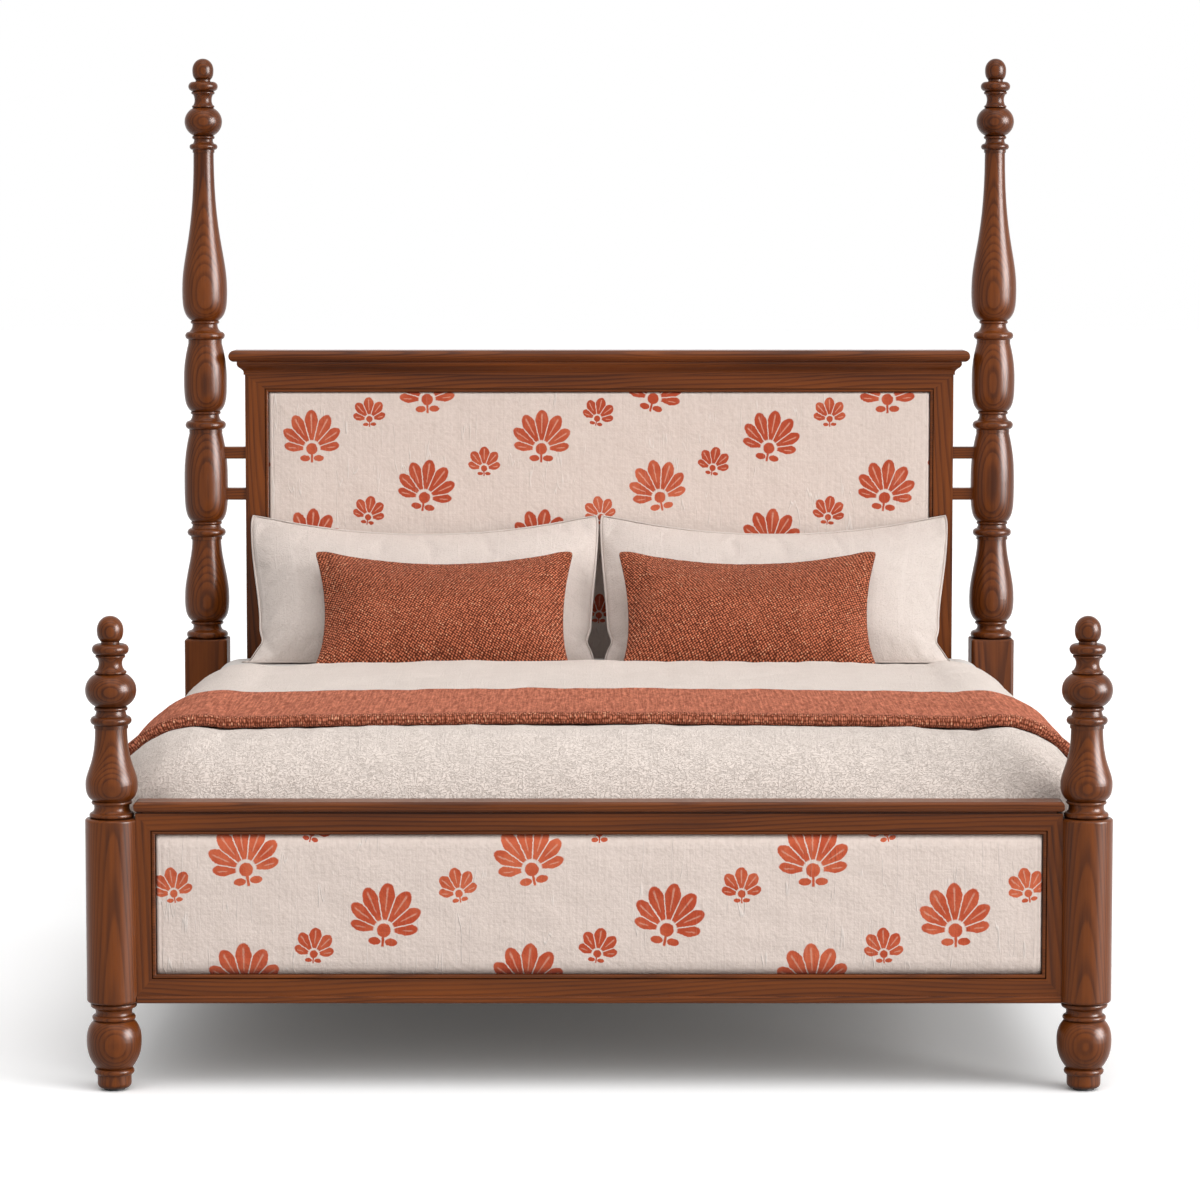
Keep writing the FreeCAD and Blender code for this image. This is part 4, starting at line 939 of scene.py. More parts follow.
@dataclass
class Woodwork:
    """The wooden pieces and fittings of the bed, which keep the shapes of their solids."""

    nodes: Dict[str, Object]
    post_place: Tuple[float, float] = (1.0, 1.075)
    heart_behind: float = 0.14
    heart_aside: float = 0.012
    planed: Tuple[Colour, Colour] = ((0.44, 0.28, 0.15), (0.60, 0.43, 0.26))
    board: Tuple[Colour, Colour] = ((0.25, 0.140, 0.072), (0.37, 0.225, 0.122))

    def stain(
        self,
        name: str,
        grain: Grain,
        heart: Tuple[float, float],
        seed: float,
        slope: float = 0.012,
        tone: float = 0.58,
        polish: float = 0.71,
    ) -> None:
        """Stain one piece.

        Args:
            name: node of the piece.
            grain: which way its grain runs.
            heart: where the heart of its tree lies, across the grain.
            seed: shifts the figure along the grain.
            slope: how fast the heart draws away along the grain.
            tone: how light the piece came out.
            polish: how far its lacquer is rubbed down.
        """
        walnut = Walnut("walnut_" + name, grain, heart, seed, slope, tone, polish)
        paint(self.nodes[name], walnut.material())
        LOG.info("%s", name)

    def posts(self) -> None:
        """Posts and finials, turned from billets whose heart lies behind their axis."""
        own_look = {
            "foot_post_": {"slope": 0.03, "tone": 0.66},
            "foot_finial_": {"tone": 0.50},
            "head_post_lower_": {"tone": 0.57, "polish": 0.5},
            "head_post_upper_": {"tone": 0.57},
            "head_finial_": {"tone": 0.52},
        }
        out, far = self.post_place
        for index, (name, side) in enumerate(SIDES.items()):
            for kind, look in own_look.items():
                end = far if kind.startswith("head") else -far
                heart = (side * (out + self.heart_aside), end + self.heart_behind)
                self.stain(kind + name, Grain.ALONG_Z, heart, 3.1 * index + 0.7 * len(kind), **look)

    def rail(self, name: str, below: float, behind: float, seed: float) -> None:
        """Stain a level piece that runs across the bed.

        Args:
            name: node of the piece.
            below: how far below the piece the heart of its tree lies.
            behind: how far behind its front.
            seed: shifts the figure along the grain.
        """
        low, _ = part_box(name)
        self.stain(name, Grain.ALONG_X, (low.z - below, low.y + behind), seed)

    def boards(self) -> None:
        """Frames, mouldings and rails of the headboard, the footboard and the sides."""
        for index, board in enumerate(("headboard", "footboard")):
            for step, name in enumerate(SIDES):
                stile = f"{board}_stile_{name}"
                low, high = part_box(stile)
                heart = ((low.x + high.x) / 2 + 0.04, low.y + 0.17)
                self.stain(stile, Grain.ALONG_Z, heart, 1.3 + index + 2.1 * step)
            for step, name in enumerate(("top_rail", "bottom_rail", "bead_strips")):
                self.rail(f"{board}_{name}", 0.05, 0.16, 5.2 + index + 1.7 * step)
        mouldings = (
            "headboard_crown_moulding",
            "headboard_cornice_cap",
            "footboard_cap",
            "footboard_base_moulding",
        )
        for step, name in enumerate(mouldings):
            self.rail(name, 0.08, 0.12, 9.4 + 1.1 * step)
        for step, name in enumerate(SIDES):
            for height in ("lower", "upper"):
                self.rail(f"link_rail_{height}_{name}", 0.06, 0.1, 2.2 * step)
            low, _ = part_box("side_rail_" + name)
            self.stain("side_rail_" + name, Grain.ALONG_Y, (low.x - 0.09, low.z - 0.05), 4.0 + step)

    def inner_pieces(self) -> None:
        """Slats, beam, ledgers, boards and fittings that the bedding hides."""
        along_x = PlainWood("planed_wood_x", Grain.ALONG_X, *self.planed)
        along_y = PlainWood("planed_wood_y", Grain.ALONG_Y, *self.planed)
        along_z = PlainWood("planed_wood_z", Grain.ALONG_Z, *self.planed)
        board = PlainWood("backing_board", Grain.ALONG_X, *self.board)
        steel = Hardware("plated_steel", (0.56, 0.55, 0.53), 1.0, 0.38)
        plastic = Hardware("black_plastic", (0.022, 0.022, 0.023), 0.0, 0.55)
        plates = ("rail_hook_plates", "post_slotted_plates", "beam_hangers")
        finishes = {
            along_x: ("slats", "head_cross_rail", "frame_dowels"),
            along_y: ("centre_beam", "slat_ledger_left", "slat_ledger_right"),
            along_z: ("centre_leg_middle", "centre_leg_head"),
            board: ("headboard_backing_board", "footboard_backing_board"),
            steel: (*plates, "ledger_screws", "head_post_studs"),
            plastic: ("floor_glides", "levelling_foot_middle", "levelling_foot_head"),
        }
        for finish, names in finishes.items():
            material = finish.material()
            for name in names:
                paint(self.nodes[name], material)
                LOG.info("%s", name)

    def build(self) -> None:
        """Stain and finish every piece."""
        self.posts()
        self.boards()
        self.inner_pieces()


@dataclass
class PanelPad:
    """Upholstered pad of the headboard or footboard: rolled edges, a stitched border, a soft crown."""

    node: str
    roll: float = 0.009
    border: float = 0.0105
    border_depth: float = 0.0014
    border_width: float = 0.0028
    crown: float = 0.0022
    crown_reach: float = 0.07
    pull: float = 0.0006
    spacing: float = 0.009
    edge_zone: float = 0.05
    inner_cells: float = 0.8
    behind: float = 0.0005
    fill: float = 0.8

    def __post_init__(self) -> None:
        """Read the pad's place and size from its solid."""
        self.low, self.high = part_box(self.node)
        self.wide, self.deep, self.tall = (far - near for near, far in zip(self.low, self.high))

    def profile(self, inset: Points) -> Points:
        """How far back the face lies.

        Args:
            inset: distance from the pad's edge.

        Returns:
            The depth behind the pad's front.
        """
        turn = np.clip(self.roll - inset, 0.0, self.roll)
        back = self.roll - np.sqrt(self.roll**2 - turn**2)
        groove = self.border_depth * bump(inset - self.border, self.border_width)
        return back + groove - self.crown * smooth(inset, self.border, self.border + self.crown_reach)

    def stations(self, share: Points, size: float) -> Points:
        """Places across the pad, packed closer near both edges.

        Args:
            share: places from -1 to 1.
            size: size of the pad that way.

        Returns:
            Distances from the middle.
        """
        body = np.clip(np.abs(share), 0.0, 1.0)
        inner = size / 2 - self.edge_zone
        packed = size / 2 - self.edge_zone * (1.0 - body) / (1.0 - self.inner_cells)
        return np.sign(share) * np.where(body > self.inner_cells, packed, body / self.inner_cells * inner)

    def face(self, u: Points, v: Points) -> Rows:
        """Points of the face.

        Args:
            u: places across, from -1 to 1.
            v: places up, from -1 to 1.

        Returns:
            The three coordinates.
        """
        x, z = self.stations(u, self.wide), self.stations(v, self.tall)
        inset = np.minimum(self.wide / 2 - np.abs(x), self.tall / 2 - np.abs(z))
        pull = self.pull * waves(x, z, 11, 14, 0.05, 0.35) * smooth(inset, 0.01, 0.05)
        middle = (self.low + self.high) / 2
        return x + middle.x, self.low.y + self.profile(inset) + pull, z + middle.z

    def build(self, material: Material) -> Object:
        """Face, turned edges and back.

        Args:
            material: the linen.

        Returns:
            The finished pad.
        """
        cells = ((int(self.wide / self.spacing) | 1) + 1, (int(self.tall / self.spacing) | 1) + 1)
        piece = sheet_grid(self.node + "_upholstered", cells, self.face)
        back = (0.0, self.deep - self.roll - self.behind, 0.0)
        with editing(piece):
            bpy.ops.mesh.region_to_loop()
            bpy.ops.mesh.extrude_region_move(TRANSFORM_OT_translate={"value": back})
            bpy.ops.mesh.edge_face_add()
            bpy.ops.mesh.select_all(action="SELECT")
            bpy.ops.mesh.normals_make_consistent(inside=False)
        return hand_in(piece, material, self.node)


@dataclass
class SleepingBase:
    """Mattress in its fitted sheet, on a foundation in two halves."""

    corner: float = 0.062
    crown: float = 0.006
    ripple: float = 0.0022
    skin: float = 0.001
    sheet_gap: float = 0.003
    cell: float = 0.055
    base_corner: float = 0.011
    base_cell: float = 0.16
    tape: float = 0.004
    tape_in: float = 0.012
    tape_depth: float = 0.0005

    def block(self, name: str, node: str, rounding: float, cell: float) -> Object:
        """Rounded block that fills a node's box, with enough points to be softened.

        Args:
            name: name of the piece.
            node: node whose box it fills.
            rounding: radius of its edges.
            cell: size of its cells.

        Returns:
            The block.
        """
        low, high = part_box(node)
        size = high - low
        bpy.ops.object.select_all(action="DESELECT")
        bpy.ops.mesh.primitive_cube_add(size=1.0, location=(low + high) / 2, scale=size)
        piece = bpy.context.active_object
        piece.name = piece.data.name = name
        bpy.ops.object.transform_apply(location=True, rotation=True, scale=True)
        apply(piece, "BEVEL", width=rounding, segments=6, limit_method="NONE")
        for axis in range(3):
            count = int(size[axis] / cell)
            direction = Vector((0.0, 0.0, 0.0))
            direction[axis] = 1.0
            for step in range(1, count):
                place = low.copy()
                place[axis] += rounding + (size[axis] - 2 * rounding) * step / count
                with editing(piece):
                    bpy.ops.mesh.bisect(plane_co=place, plane_no=direction)
        return piece

    def mattress(self, material: Material, cover: "BedCover") -> Object:
        """Mattress in its sheet.

        Args:
            material: the sheet.
            cover: the duvet that presses its edges down.

        Returns:
            The finished mattress.
        """
        piece = self.block("mattress_in_sheet", "mattress", self.corner, self.cell)
        apply(piece, "SUBSURF", levels=1, render_levels=1)
        low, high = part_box("mattress")
        middle = (low + high) / 2
        points = read_points(piece)
        x, y, z = points.T
        share_x = (x - middle.x) / (high.x - low.x) * 2
        share_y = (y - middle.y) / (high.y - low.y) * 2
        height = (z - low.z) / (high.z - low.z)
        side = smooth(np.maximum(np.abs(share_x), np.abs(share_y)), 0.93, 1.0)
        ripple = waves(x * 3.0 + y * 3.0, z * 0.35, 5, 10, 0.10, 0.4)
        draw = np.abs(self.ripple * ripple * side * smooth(height, 0.98, 0.3)) + self.skin * side
        x -= np.sign(share_x) * draw
        y -= np.sign(share_y) * draw
        crown = self.crown * np.clip(share_x**4 + share_y**4, 0.0, 1.0) / 2
        z -= smooth(height, 0.9, 1.0) * (self.skin + crown)
        pressed = cover.face_height(x, y) - cover.thickness - self.sheet_gap
        under = smooth(y, cover.head_end, cover.head_end - 0.12)
        z -= under * np.maximum(z - np.maximum(pressed, middle.z), 0.0)
        write_points(piece, points)
        return hand_in(piece, material, "mattress")

    def foundations(self, material: Material) -> None:
        """Both halves, each a firm box with taped edges.

        Args:
            material: the cover.
        """
        for name in SIDES:
            node = "foundation_" + name
            piece = self.block(node + "_covered", node, self.base_corner, self.base_cell)
            low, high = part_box(node)
            middle = (low + high) / 2
            points = read_points(piece)
            from_edge = np.abs(points[:, 2] - middle.z) - (high.z - low.z) / 2 + self.tape_in
            points[:, 0] += bump(from_edge, self.tape) * self.tape_depth * np.sign(middle.x - points[:, 0])
            write_points(piece, points)
            hand_in(piece, material, node)

    def build(self, cover: "BedCover") -> None:
        """Mattress and foundation.

        Args:
            cover: the duvet that lies on the mattress.
        """
        sheet = Ticking("fitted_sheet", (0.70, 0.655, 0.62), (0.60, 0.55, 0.515))
        base = Ticking("foundation_cover", (0.62, 0.58, 0.54), (0.50, 0.465, 0.43))
        self.mattress(sheet.material(), cover)
        self.foundations(base.material())


@dataclass
class BedCover:
    """Laid covers of the bed: the duvet and the folded throw that follows it."""

    flat_half: float = 0.800
    crown: float = 0.009
    shoulder: Tuple[float, float] = (1.014, 0.622)
    bulge: Tuple[float, float] = (0.936, 0.6935)
    roll_start: float = -0.770
    roll_bulge: Tuple[float, float] = (-0.9635, 0.681)
    roll_end: Tuple[float, float] = (-1.034, 0.586)
    foot_hem: float = 0.531
    foot_half: float = 0.936
    notch: float = -1.012
    corner_reach: float = 0.085
    corner_back: float = 0.022
    corner_down: float = 0.012
    thickness: float = 0.026
    drop_thickness: float = 0.012
    thinning: Tuple[float, float] = (0.955, 1.005)
    hem_round: float = 0.006
    cell: float = 0.0125
    ripple: float = 0.0013
    lump: float = 0.0018
    hang: Tuple[float, float] = (1.08, 1.34)
    hang_fold: float = 0.012
    pressed: float = 0.0035
    press_reach: float = 0.035
    throw_front: float = -0.768
    throw_back: float = -0.232
    throw_hem: float = 0.484
    throw_cells: Tuple[float, int] = (0.014, 110)
    throw_wander: float = 0.004
    throw_ripple: float = 0.0010
    cloth: float = 0.0085
    bend: float = 0.0083
    under: float = 0.0055
    settled: float = 0.0056
    layer_points: int = 40
    fold_points: int = 12
    drop_points: int = 30

    def __post_init__(self) -> None:
        """Work out the outlines that the covers follow, and the throw's cut."""
        low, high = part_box("duvet")
        self.top, self.hem = high.z, low.z
        self.head_end = high.y - 0.001
        flat = np.linspace(0.0, self.flat_half, 30)
        right = [(x, self.top - self.crown * (x / self.flat_half) ** 2) for x in flat]
        right += arc((self.flat_half, self.top - self.crown), self.bulge, self.shoulder, 24)[1:]
        fall = np.linspace(0, 1, 20)[1:]
        right += [np.array(self.shoulder) * (1 - s) + np.array((high.x, low.z)) * s for s in fall]
        left = [(-x, z) for x, z in right[:0:-1]]
        self.across = Outline([tuple(point) for point in left + right])
        front = [(self.roll_end[0], self.foot_hem)]
        front += arc(self.roll_end, self.roll_bulge, (self.roll_start, self.top), 30)
        front.append((self.head_end, self.top))
        self.along = Outline([tuple(point) for point in front])
        self.half = self.across.length / 2
        self.section = self.throw_section()
        drop = slice(None, -self.drop_points - 1, -1)
        hem = np.interp(self.throw_hem, self.across.points[drop, 1], self.across.runs[drop])
        self.throw_half = float(hem) - self.half

    def lay(self, run: Points, length: Points, rise: Points) -> Rows:
        """Points on the cover.

        Args:
            run: length across the bed from the middle.
            length: length from the foot hem.
            rise: height above the duvet's outer face.

        Returns:
            The three coordinates.
        """
        x, z = self.across.at(run + self.half)
        out_x, out_z = self.across.normal(run + self.half)
        y, long_z = self.along.at(length)
        back_y, back_z = self.along.normal(length)
        drop = self.top - long_z
        over = smooth(drop, 0.0, 0.09)
        hung = np.clip((z - self.hem) / (self.shoulder[1] - self.hem), 0.0, 1.0)
        lift = rise * (out_z * (1 - over) + back_z * over)
        return x + out_x * rise, y + back_y * rise * over, z - drop * hung + lift

    def face_height(self, x: Points, y: Points) -> Points:
        """Height of the duvet's outer face over a place on the bed.

        Args:
            x: place across the bed.
            y: place along it.

        Returns:
            The height.
        """
        middle = len(self.across.points) // 2
        side = np.interp(np.abs(x), *self.across.points[middle:].T)
        return side + np.interp(y, *self.along.points.T) - self.top

    def duvet_rise(self, run: Points, length: Points) -> Points:
        """Soft wrinkles of the duvet, pressed flat under the throw.

        Args:
            run: length across the bed from the middle.
            length: length from the foot hem.

        Returns:
            Height above the outline.
        """
        y, _ = self.along.at(length)
        under = smooth(y, self.throw_front - self.press_reach, self.throw_front)
        under = under * smooth(y, self.throw_back + self.press_reach, self.throw_back)
        wrinkles = waves(run, length * 0.45, 21, 22, 0.045, 0.30) * self.ripple
        wrinkles = wrinkles + waves(run, length, 8, 12, 0.18, 0.7) * self.lump
        folds = np.sin(y * 21.0 + np.sin(y * 5.3) * 1.4) * 0.5 + 0.5
        front = smooth(y, self.roll_end[0] + 0.05, self.roll_end[0])
        rise = wrinkles * (1.0 - 0.65 * front) - 0.002 - 0.0015 * front
        rise = rise + smooth(np.abs(run), *self.hang) * (folds * self.hang_fold + 0.001)
        return rise * (1.0 - under) - self.pressed * under

    def duvet_cut(self, u: Points, v: Points) -> Pair:
        """Place on the duvet's cut cloth: across the bed, then from the foot hem."""
        return u * self.half, (v + 1.0) / 2 * self.along.length

    def duvet_face(self, u: Points, v: Points) -> Rows:
        """Points of the duvet's outer face, drawn in at the foot posts.

        Args:
            u: places across, from -1 to 1.
            v: places from foot to head, from -1 to 1.

        Returns:
            The three coordinates.
        """
        run, length = self.duvet_cut(u, v)
        x, y, z = self.lay(run, length, self.duvet_rise(run, length))
        corner = smooth(np.abs(x), self.foot_half - self.corner_reach, self.foot_half)
        foot = smooth(y, self.notch + 0.02, self.roll_end[0])
        return x, y + corner**2 * foot * self.corner_back, z - corner * foot * self.corner_down

    def duvet(self, material: Material) -> Object:
        """Duvet: one soft cover with rounded hems, notched for the foot posts.

        Args:
            material: the cotton.

        Returns:
            The finished duvet.
        """
        cells = (int(2 * self.half / self.cell), int(self.along.length / self.cell))
        piece = sheet_grid("duvet_cover", cells, self.duvet_face, self.duvet_cut)
        points = read_points(piece)
        delete_points(piece, (np.abs(points[:, 0]) > self.foot_half) & (points[:, 1] < self.notch))
        group = piece.vertex_groups.new(name="filling")
        thin = 1.0 - self.drop_thickness / self.thickness
        weights = 1.0 - thin * smooth(np.abs(read_points(piece)[:, 0]), *self.thinning)
        for index, weight in enumerate(weights):
            group.add([index], float(weight), "REPLACE")
        filling = {"thickness": self.thickness, "offset": -1.0, "vertex_group": group.name}
        apply(piece, "SOLIDIFY", use_even_offset=True, **filling)
        angle = math.radians(55.0)
        apply(piece, "BEVEL", width=self.hem_round, segments=3, limit_method="ANGLE", angle_limit=angle)
        return hand_in(piece, material, "duvet")

    def throw_section(self) -> Outline:
        """Cut through the throw: under layer, full fold at the front, upper layer.

        Returns:
            Place along the bed, and height above the duvet.
        """
        bend, under = self.bend, self.under
        front = self.throw_front + bend + self.cloth / 2
        low = [(y, under) for y in np.linspace(self.throw_back - 0.012, front, self.layer_points)]
        turn = np.linspace(-math.pi / 2, -3 * math.pi / 2, self.fold_points)
        fold = [(front + bend * math.cos(a), under + bend + bend * math.sin(a)) for a in turn]
        back = np.linspace(front, self.throw_back, self.layer_points)
        lift = under + 2 * bend - self.settled * smooth(back - front, 0.008, 0.07)
        return Outline(low + fold[1:] + list(zip(back, lift))[1:])

    def throw_face(self, u: Points, v: Points) -> Rows:
        """Points of the throw's middle layer.

        Args:
            u: places across the bed, from -1 to 1.
            v: places round the folded section, from -1 to 1.

        Returns:
            The three coordinates.
        """
        round_fold, run = self.throw_cut(u, v)
        y, rise = self.section.at(round_fold)
        wander = self.throw_wander * waves(run, np.zeros_like(y), 31, 6, 0.5, 1.6)
        soft = self.throw_ripple * waves(run, y, 14, 16, 0.05, 0.3) * smooth(rise, 0.010, 0.016)
        length = np.interp(y + wander, self.along.points[:, 0], self.along.runs)
        return self.lay(run, length, rise + soft)

    def throw_cut(self, u: Points, v: Points) -> Pair:
        """Place on the throw's cut cloth: across its folded width, then along it."""
        return (v + 1.0) / 2 * self.section.length, u * self.throw_half

    def throw(self) -> Object:
        """Throw folded once along its length and laid over the duvet.

        Returns:
            The finished throw.
        """
        cell, round_fold = self.throw_cells
        cells = (int(2 * self.throw_half / cell), round_fold)
        piece = sheet_grid("folded_throw", cells, self.throw_face, self.throw_cut)
        apply(piece, "SOLIDIFY", thickness=self.cloth, offset=0.0, use_even_offset=True)
        fold_at = float(self.section.runs[self.layer_points + self.fold_points // 2 - 1])
        hand_in(piece, ThrowWeave("terracotta_throw", fold_at).material(), "throw")
        return piece

    def build(self) -> None:
        """Duvet and throw."""
        ground, hollow = (0.78, 0.686, 0.624), (0.56, 0.470, 0.412)
        self.duvet(Cotton("duvet_cotton", ground, hollow, 165.0, 0.0026, gathered_and_shaded=0.52).material())
        self.throw()


@dataclass
class Stuffed:
    """A stuffed cover with a seam all round, pointed corners and drawn-in sides."""

    node: str
    name: str
    side: int
    width: float
    height: float
    thickness: float
    drawn_in: float
    lean: float
    cells: Tuple[int, int]
    corner: float
    tuck: float
    inner_share: float
    waist: float
    aside: float
    slump: float
    sink: float
    seed: int
    ends_in: float = 0.036
    pressure: float = 1.2
    ease: float = 0.008
    moments: int = 20
    most_puff: float = 0.012
    ripple: float = 0.0014
    tuck_height: float = -0.68
    cord_sunk: float = 0.35

    def outline(self, u: Points, v: Points) -> Pair:
        """Place in the plane of the seam.

        Args:
            u: places across, from -1 to 1.
            v: places up, from -1 to 1.

        Returns:
            Both coordinates.
        """
        low = (1.0 - v) / 2
        ends_in = self.ends_in * np.where(u * self.side < 0.0, self.inner_share, 1.0)
        notch = self.tuck * bump(v - self.tuck_height, 0.10) * np.abs(u) ** 6
        slack = 0.6
        swell = slack * self.waist / (1.0 - self.waist)
        most = self.waist**swell * (1.0 - self.waist) ** slack
        spread = self.tuck * low**6 * (u * self.side > 0.0)
        x = u * (self.width / 2 + spread - ends_in * low**swell * (1.0 - low) ** slack / most - notch)
        z = v * (self.height / 2 - self.drawn_in * (1.0 - u**2) * np.where(v > 0.0, 1.0, 0.12))
        round_off = self.corner * np.clip((np.abs(u) + np.abs(v) - 1.84) / 0.16, 0.0, 1.0) ** 2
        return x - np.sign(u) * round_off, z - np.sign(v) * round_off

    def face(self, sign: int, u: Points, v: Points) -> Rows:
        """Points of the front or back half of the cover.

        Args:
            sign: -1 for the front, 1 for the back.
            u: places across, from -1 to 1.
            v: places up, from -1 to 1.

        Returns:
            The three coordinates.
        """
        x, z = self.outline(u, v)
        sunk = v + self.slump * (1.0 - v**2)
        body = np.clip((1.0 - np.abs(u) ** 3.0) * (1.0 - np.abs(sunk) ** 2.6), 0.0, 1.0) ** 0.72
        slack = waves(x, z, self.seed + sign, 14, 0.09, 0.34) * self.ripple * np.clip(body * 2.0, 0.0, 1.0)
        across_tuck = (1.0 - np.abs(u)) * 1.6 + (v - self.tuck_height)
        tuck = bump(across_tuck, 0.035) * smooth(np.abs(u), 0.84, 0.93) * smooth(body, 0.0, 0.3)
        return x, sign * (body * (self.thickness / 2 * 0.97) - self.tuck * tuck + slack * (body > 0)), z

    def tilt(self, x: Points, y: Points, z: Points) -> Points:
        """Lean points or directions back.

        Args:
            x: across the cover.
            y: through it.
            z: up it.

        Returns:
            Rows of three.
        """
        turn = math.radians(self.lean)
        back, up = y * math.cos(turn) + z * math.sin(turn), z * math.cos(turn) - y * math.sin(turn)
        return np.stack([x, back, up], axis=1)

    def stand(self, points: Points, clear: float = 0.0005) -> Points:
        """Lean the cover back, set it in its place and flatten what would sink into the mattress.

        Args:
            points: points of the cover, lying in the plane of its seam.
            clear: least height above the mattress.

        Returns:
            The points in place.
        """
        low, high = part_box(self.node)
        middle = (low + high) / 2
        placed = self.tilt(*points.T) + np.array((middle.x + self.aside, middle.y, middle.z - self.sink))
        placed[:, 2] = np.maximum(placed[:, 2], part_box("mattress")[1].z + clear)
        return placed

    def cut(self, u: Points, v: Points) -> Pair:
        """Place on the cut cloth."""
        return u * self.width / 2 * self.side, v * self.height / 2

    def puff(self, piece: Object) -> None:
        """Blow up the sewn cover with its seam held, so that the cloth puckers along it.

        Args:
            piece: the cover.
        """
        start = read_points(piece)
        held = piece.vertex_groups.new(name="seam")
        held.add(np.flatnonzero(np.abs(start[:, 1]) < 1e-6).tolist(), 1.0, "REPLACE")
        alone(piece)
        modifier = piece.modifiers.new("Cloth", "CLOTH")
        cloth = modifier.settings
        cloth.quality = 5
        cloth.mass = 0.25
        cloth.tension_stiffness = cloth.compression_stiffness = 12.0
        cloth.shear_stiffness = 4.0
        cloth.bending_stiffness = 0.35
        cloth.use_pressure = True
        cloth.uniform_pressure_force = self.pressure
        cloth.shrink_min = cloth.shrink_max = -self.ease
        cloth.vertex_group_mass = held.name
        cloth.effector_weights.gravity = 0.0
        modifier.collision_settings.use_collision = False
        for moment in range(self.moments):
            bpy.context.scene.frame_set(moment + 1)
        bpy.ops.object.modifier_apply(modifier=modifier.name)
        bpy.context.scene.frame_set(1)
        moved = read_points(piece) - start
        far = np.maximum(np.linalg.norm(moved, axis=1, keepdims=True), TINY)
        write_points(piece, start + moved / far * (self.most_puff * np.tanh(far / self.most_puff)))

    def build(self, material: Material, slot: str, fill: float) -> Object:
        """Sew, stuff and place the cover.

        Args:
            material: the cloth.
            slot: not used.
            fill: not used.

        Returns:
            The finished cover.
        """
        halves = [
            sheet_grid(self.name + tag, self.cells, partial(self.face, sign), self.cut)
            for tag, sign in (("_front", -1), ("_back", 1))
        ]
        piece = join(halves, self.name)
        self.puff(piece)
        apply(piece, "SUBSURF", levels=1, render_levels=1)
        write_points(piece, self.stand(read_points(piece)))
        return hand_in(piece, material, self.node)

    def cord(self, radius: float, u: Points, v: Points) -> Rows:
        """Points of the cord in the seam.

        Args:
            radius: radius of the cord.
            u: places round the seam, from -1 to 1.
            v: places round the cord, from -1 to 1.

        Returns:
            The three coordinates.
        """
        lap = (u + 1.0) * 2.0
        leg = np.minimum(np.floor(lap), 3.0)
        part = (lap - leg) * 2.0 - 1.0
        ends = np.ones_like(part)
        legs = [leg == number for number in range(4)]
        edge_u = np.select(legs, [part, ends, -part, -ends])
        edge_v = np.select(legs, [-ends, part, ends, -part])
        x, z = self.outline(edge_u, edge_v)
        far = np.hypot(edge_u, edge_v)
        out_x, out_z = edge_u / far, edge_v / far
        sunk = radius * self.cord_sunk
        seam = np.stack([x - out_x * sunk, np.zeros_like(x), z - out_z * sunk], axis=1)
        around = v * math.pi
        ring = self.tilt(np.cos(around) * out_x, np.sin(around), np.cos(around) * out_z)
        return tuple((self.stand(seam, radius) + ring * radius).T)

    def piping(self, material: Material, slot: str, radius: float) -> Object:
        """Thin cord sewn into the seam all round.

        Args:
            material: the cord's cloth.
            slot: not used.
            radius: radius of the cord.

        Returns:
            The finished piping.
        """
        piece = sheet_grid(self.name + "_piping", (240, 10), partial(self.cord, radius))
        return hand_in(join([piece], piece.name), material)


@dataclass
class Cushions:
    """Two long pillows against the headboard and a lumbar cushion against each."""

    pillow_lean: float = 35.0
    cushion_lean: float = 36.0
    piping: float = 0.0031

    def pillow(self, name: str, side: int) -> Stuffed:
        """One long pillow, soft and sunk, with slack lower corners."""
        return Stuffed(
            node="pillow_" + name,
            name="pillow_cover_" + name,
            side=side,
            width=0.880,
            height=0.441,
            thickness=0.166,
            drawn_in=0.060,
            lean=self.pillow_lean,
            cells=(96, 50),
            corner=0.004,
            tuck=0.010,
            inner_share=0.5,
            waist=0.78,
            aside=0.008 * side,
            slump=0.22,
            sink=0.0095,
            seed=40,
        )

    def cushion(self, name: str, side: int) -> Stuffed:
        """One lumbar cushion, firmer than the pillow behind it."""
        return Stuffed(
            node="cushion_" + name,
            name="lumbar_cushion_" + name,
            side=side,
            width=0.660,
            height=0.358,
            thickness=0.117,
            drawn_in=0.047,
            lean=self.cushion_lean,
            cells=(76, 42),
            corner=0.013,
            tuck=0.0,
            inner_share=0.8,
            waist=0.60,
            aside=-0.018 if side < 0 else 0.001,
            slump=0.08,
            sink=0.0,
            seed=60,
        )

    def build(self) -> None:
        """All four: the sides mirror each other, but the left cushion sits further out."""
        cotton = Cotton("pillow_cotton", (0.685, 0.600, 0.549), (0.575, 0.492, 0.444), 125.0, 0.0017, 0.25)
        cord = Cotton("pillow_piping", (0.70, 0.615, 0.562), (0.63, 0.545, 0.495), 60.0, 0.0006)
        pillow_cloth, cord_cloth = cotton.material(), cord.material()
        weave = NubbyWeave("terracotta_cushion").material()
        for name, side in SIDES.items():
            pillow = self.pillow(name, side)
            pillow.build(pillow_cloth, "pillow_cotton", 0.6)
            pillow.piping(cord_cloth, "pillow_cotton", self.piping)
            self.cushion(name, side).build(weave, "terracotta_cushion", 0.7)


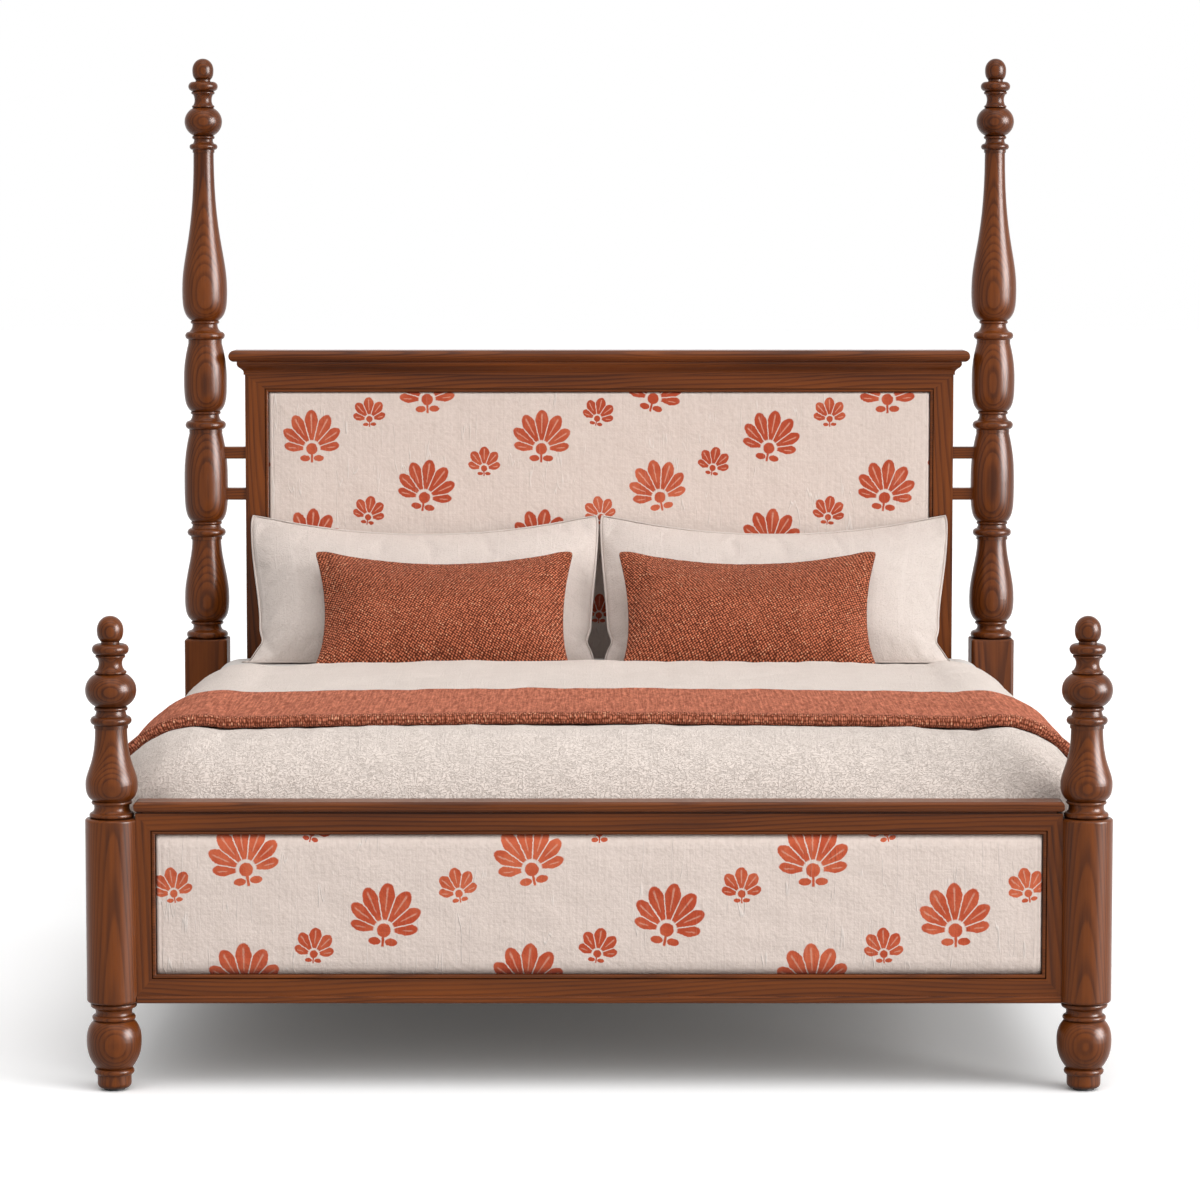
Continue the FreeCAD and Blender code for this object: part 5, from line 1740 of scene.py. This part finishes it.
@dataclass
class Studio:
    """White floor, soft light and the camera."""

    eye: Place = (0.0019, -9.737, 1.784)
    pitch: float = 5.084
    lens: float = 127.66
    sky: float = 0.256
    sky_tilt: float = 3.0
    sky_from: Place = (0.12, -0.42, 0.90)
    darkest: float = 0.03
    key: float = 0.92
    key_from: Place = (0.17, -0.33, 0.93)
    key_angle: float = 50.0
    side_light: float = 1650.0
    gloss_light: float = 9600.0
    side_from: Place = (13.6, -8.4, 4.9)
    gloss_from: Place = (14.73, -6.25, 4.9)
    strip_size: float = 9.2
    floor_size: float = 120.0
    floor_below: float = 0.0005
    floor_white: float = 1.10
    bounce: float = 0.22
    shadow_lift: float = 0.045

    def hang(self, data: bpy.types.ID, place: Place, turn: Sequence[float]) -> Object:
        """Put a camera or a lamp in its place.

        Args:
            data: the camera or the lamp.
            place: where it is.
            turn: its rotation.

        Returns:
            The object.
        """
        thing = bpy.data.objects.new(data.name, data)
        thing.location = place
        thing.rotation_euler = turn
        bpy.context.scene.collection.objects.link(thing)
        return thing

    def camera(self) -> None:
        """Long lens in front of the footboard, tilted down a little."""
        data = bpy.data.cameras.new("camera")
        data.lens = self.lens
        data.clip_end = 200.0
        turn = (math.radians(90.0 - self.pitch), 0.0, 0.0)
        bpy.context.scene.camera = self.hang(data, self.eye, turn)

    def lamps(self) -> None:
        """Broad light from above the foot of the bed, and two panels far off on the right."""
        data = bpy.data.lights.new("key", "SUN")
        data.energy = self.key
        data.angle = math.radians(self.key_angle)
        self.hang(data, (0.0, 0.0, 0.0), Vector(self.key_from).to_track_quat("Z", "Y").to_euler())
        self.panel("side_light", self.side_light, self.side_from).visible_glossy = False
        self.panel("gloss_light", self.gloss_light, self.gloss_from).visible_diffuse = False

    def panel(self, name: str, energy: float, place: Place) -> Object:
        """A square lamp that faces the bed: the light on the cloth, or the gleam on the lacquer.

        Args:
            name: name of the lamp.
            energy: its power.
            place: where it hangs.

        Returns:
            The lamp.
        """
        data = bpy.data.lights.new(name, "AREA")
        data.shape = "SQUARE"
        data.size = self.strip_size
        data.energy = energy
        level = Vector((place[0], place[1], 0.0))
        return self.hang(data, place, level.to_track_quat("Z", "Y").to_euler())

    def seen(self, nodes: Nodes) -> Field:
        """Where the surroundings are looked at: by the camera, in a gloss or through glass.

        Args:
            nodes: nodes of the world or of the floor.

        Returns:
            1 where they are, 0 where they only give light.
        """
        path = nodes.add("LightPath")
        rays = ("Is Camera Ray", "Is Glossy Ray", "Is Transmission Ray")
        return nodes.most(*(Field(nodes, path.outputs[ray]) for ray in rays))

    def world(self) -> None:
        """White surroundings, brighter towards the key light and at full white where they are seen."""
        world = bpy.data.worlds.new("studio")
        world.use_nodes = True
        bpy.context.scene.world = world
        nodes = Nodes(world.node_tree)
        towards = nodes.add("VectorMath")
        towards.operation = "DOT_PRODUCT"
        nodes.feed(towards.inputs[0], nodes.add("TexCoord").outputs["Generated"])
        nodes.feed(towards.inputs[1], Vector(self.sky_from).normalized())
        sky = Field(nodes, towards.outputs["Value"]) * (self.sky * self.sky_tilt) + self.sky
        lit = nodes.most(sky, self.darkest)
        strength = nodes.add("MapRange", Value=self.seen(nodes), To_Min=lit, To_Max=1.0).outputs["Result"]
        background = nodes.add("Background", Color=WHITE, Strength=strength)
        nodes.add("OutputWorld", Surface=background.outputs["Background"])

    def floor(self) -> None:
        """Floor that is seen white, takes the bed's shadow and throws little light back."""
        bpy.ops.object.select_all(action="DESELECT")
        bpy.ops.mesh.primitive_plane_add(size=self.floor_size, location=(0.0, 0.0, -self.floor_below))
        floor = bpy.context.active_object
        floor.name = "floor"
        surface = Surface("floor_paint")
        seen = self.seen(surface)
        colour = surface.mix(seen, (self.bounce,) * 3, (self.floor_white,) * 3)
        surface.feed(surface.shader.inputs["Emission Color"], WHITE)
        surface.feed(surface.shader.inputs["Emission Strength"], seen * self.shadow_lift)
        paint(floor, surface.close(colour, 0.95, 0.0))

    def build(self) -> None:
        """Set the whole studio."""
        bpy.context.scene.view_settings.view_transform = "Standard"
        self.camera()
        self.lamps()
        self.world()
        self.floor()
        LOG.info("studio")


def main() -> None:
    """Build and dress the bed, piece by piece."""
    logging.basicConfig(level=logging.INFO, format="%(name)s: %(message)s")
    Studio().build()
    Woodwork(frame["nodes"]).build()
    # Painted light: the footboard's linen is a lighter copy of the headboard's, ground, slubs and ink
    # alike, making up for the shade under the footboard's cap.
    foot_linen_painted_light = PrintedLinen(
        "printed_linen_foot_painted_light",
        ground=(0.858, 0.729, 0.659),
        slub=(0.660, 0.539, 0.468),
        ink=(0.535, 0.0715, 0.023),
        pale_ink=(0.680, 0.144, 0.060),
    )
    for node, linen in (("headboard_pad", PrintedLinen("printed_linen")), ("footboard_pad", foot_linen_painted_light)):
        PanelPad(node).build(linen.material())
    cover = BedCover()
    SleepingBase().build(cover)
    cover.build()
    Cushions().build()


if __name__ == "__main__":
    main()
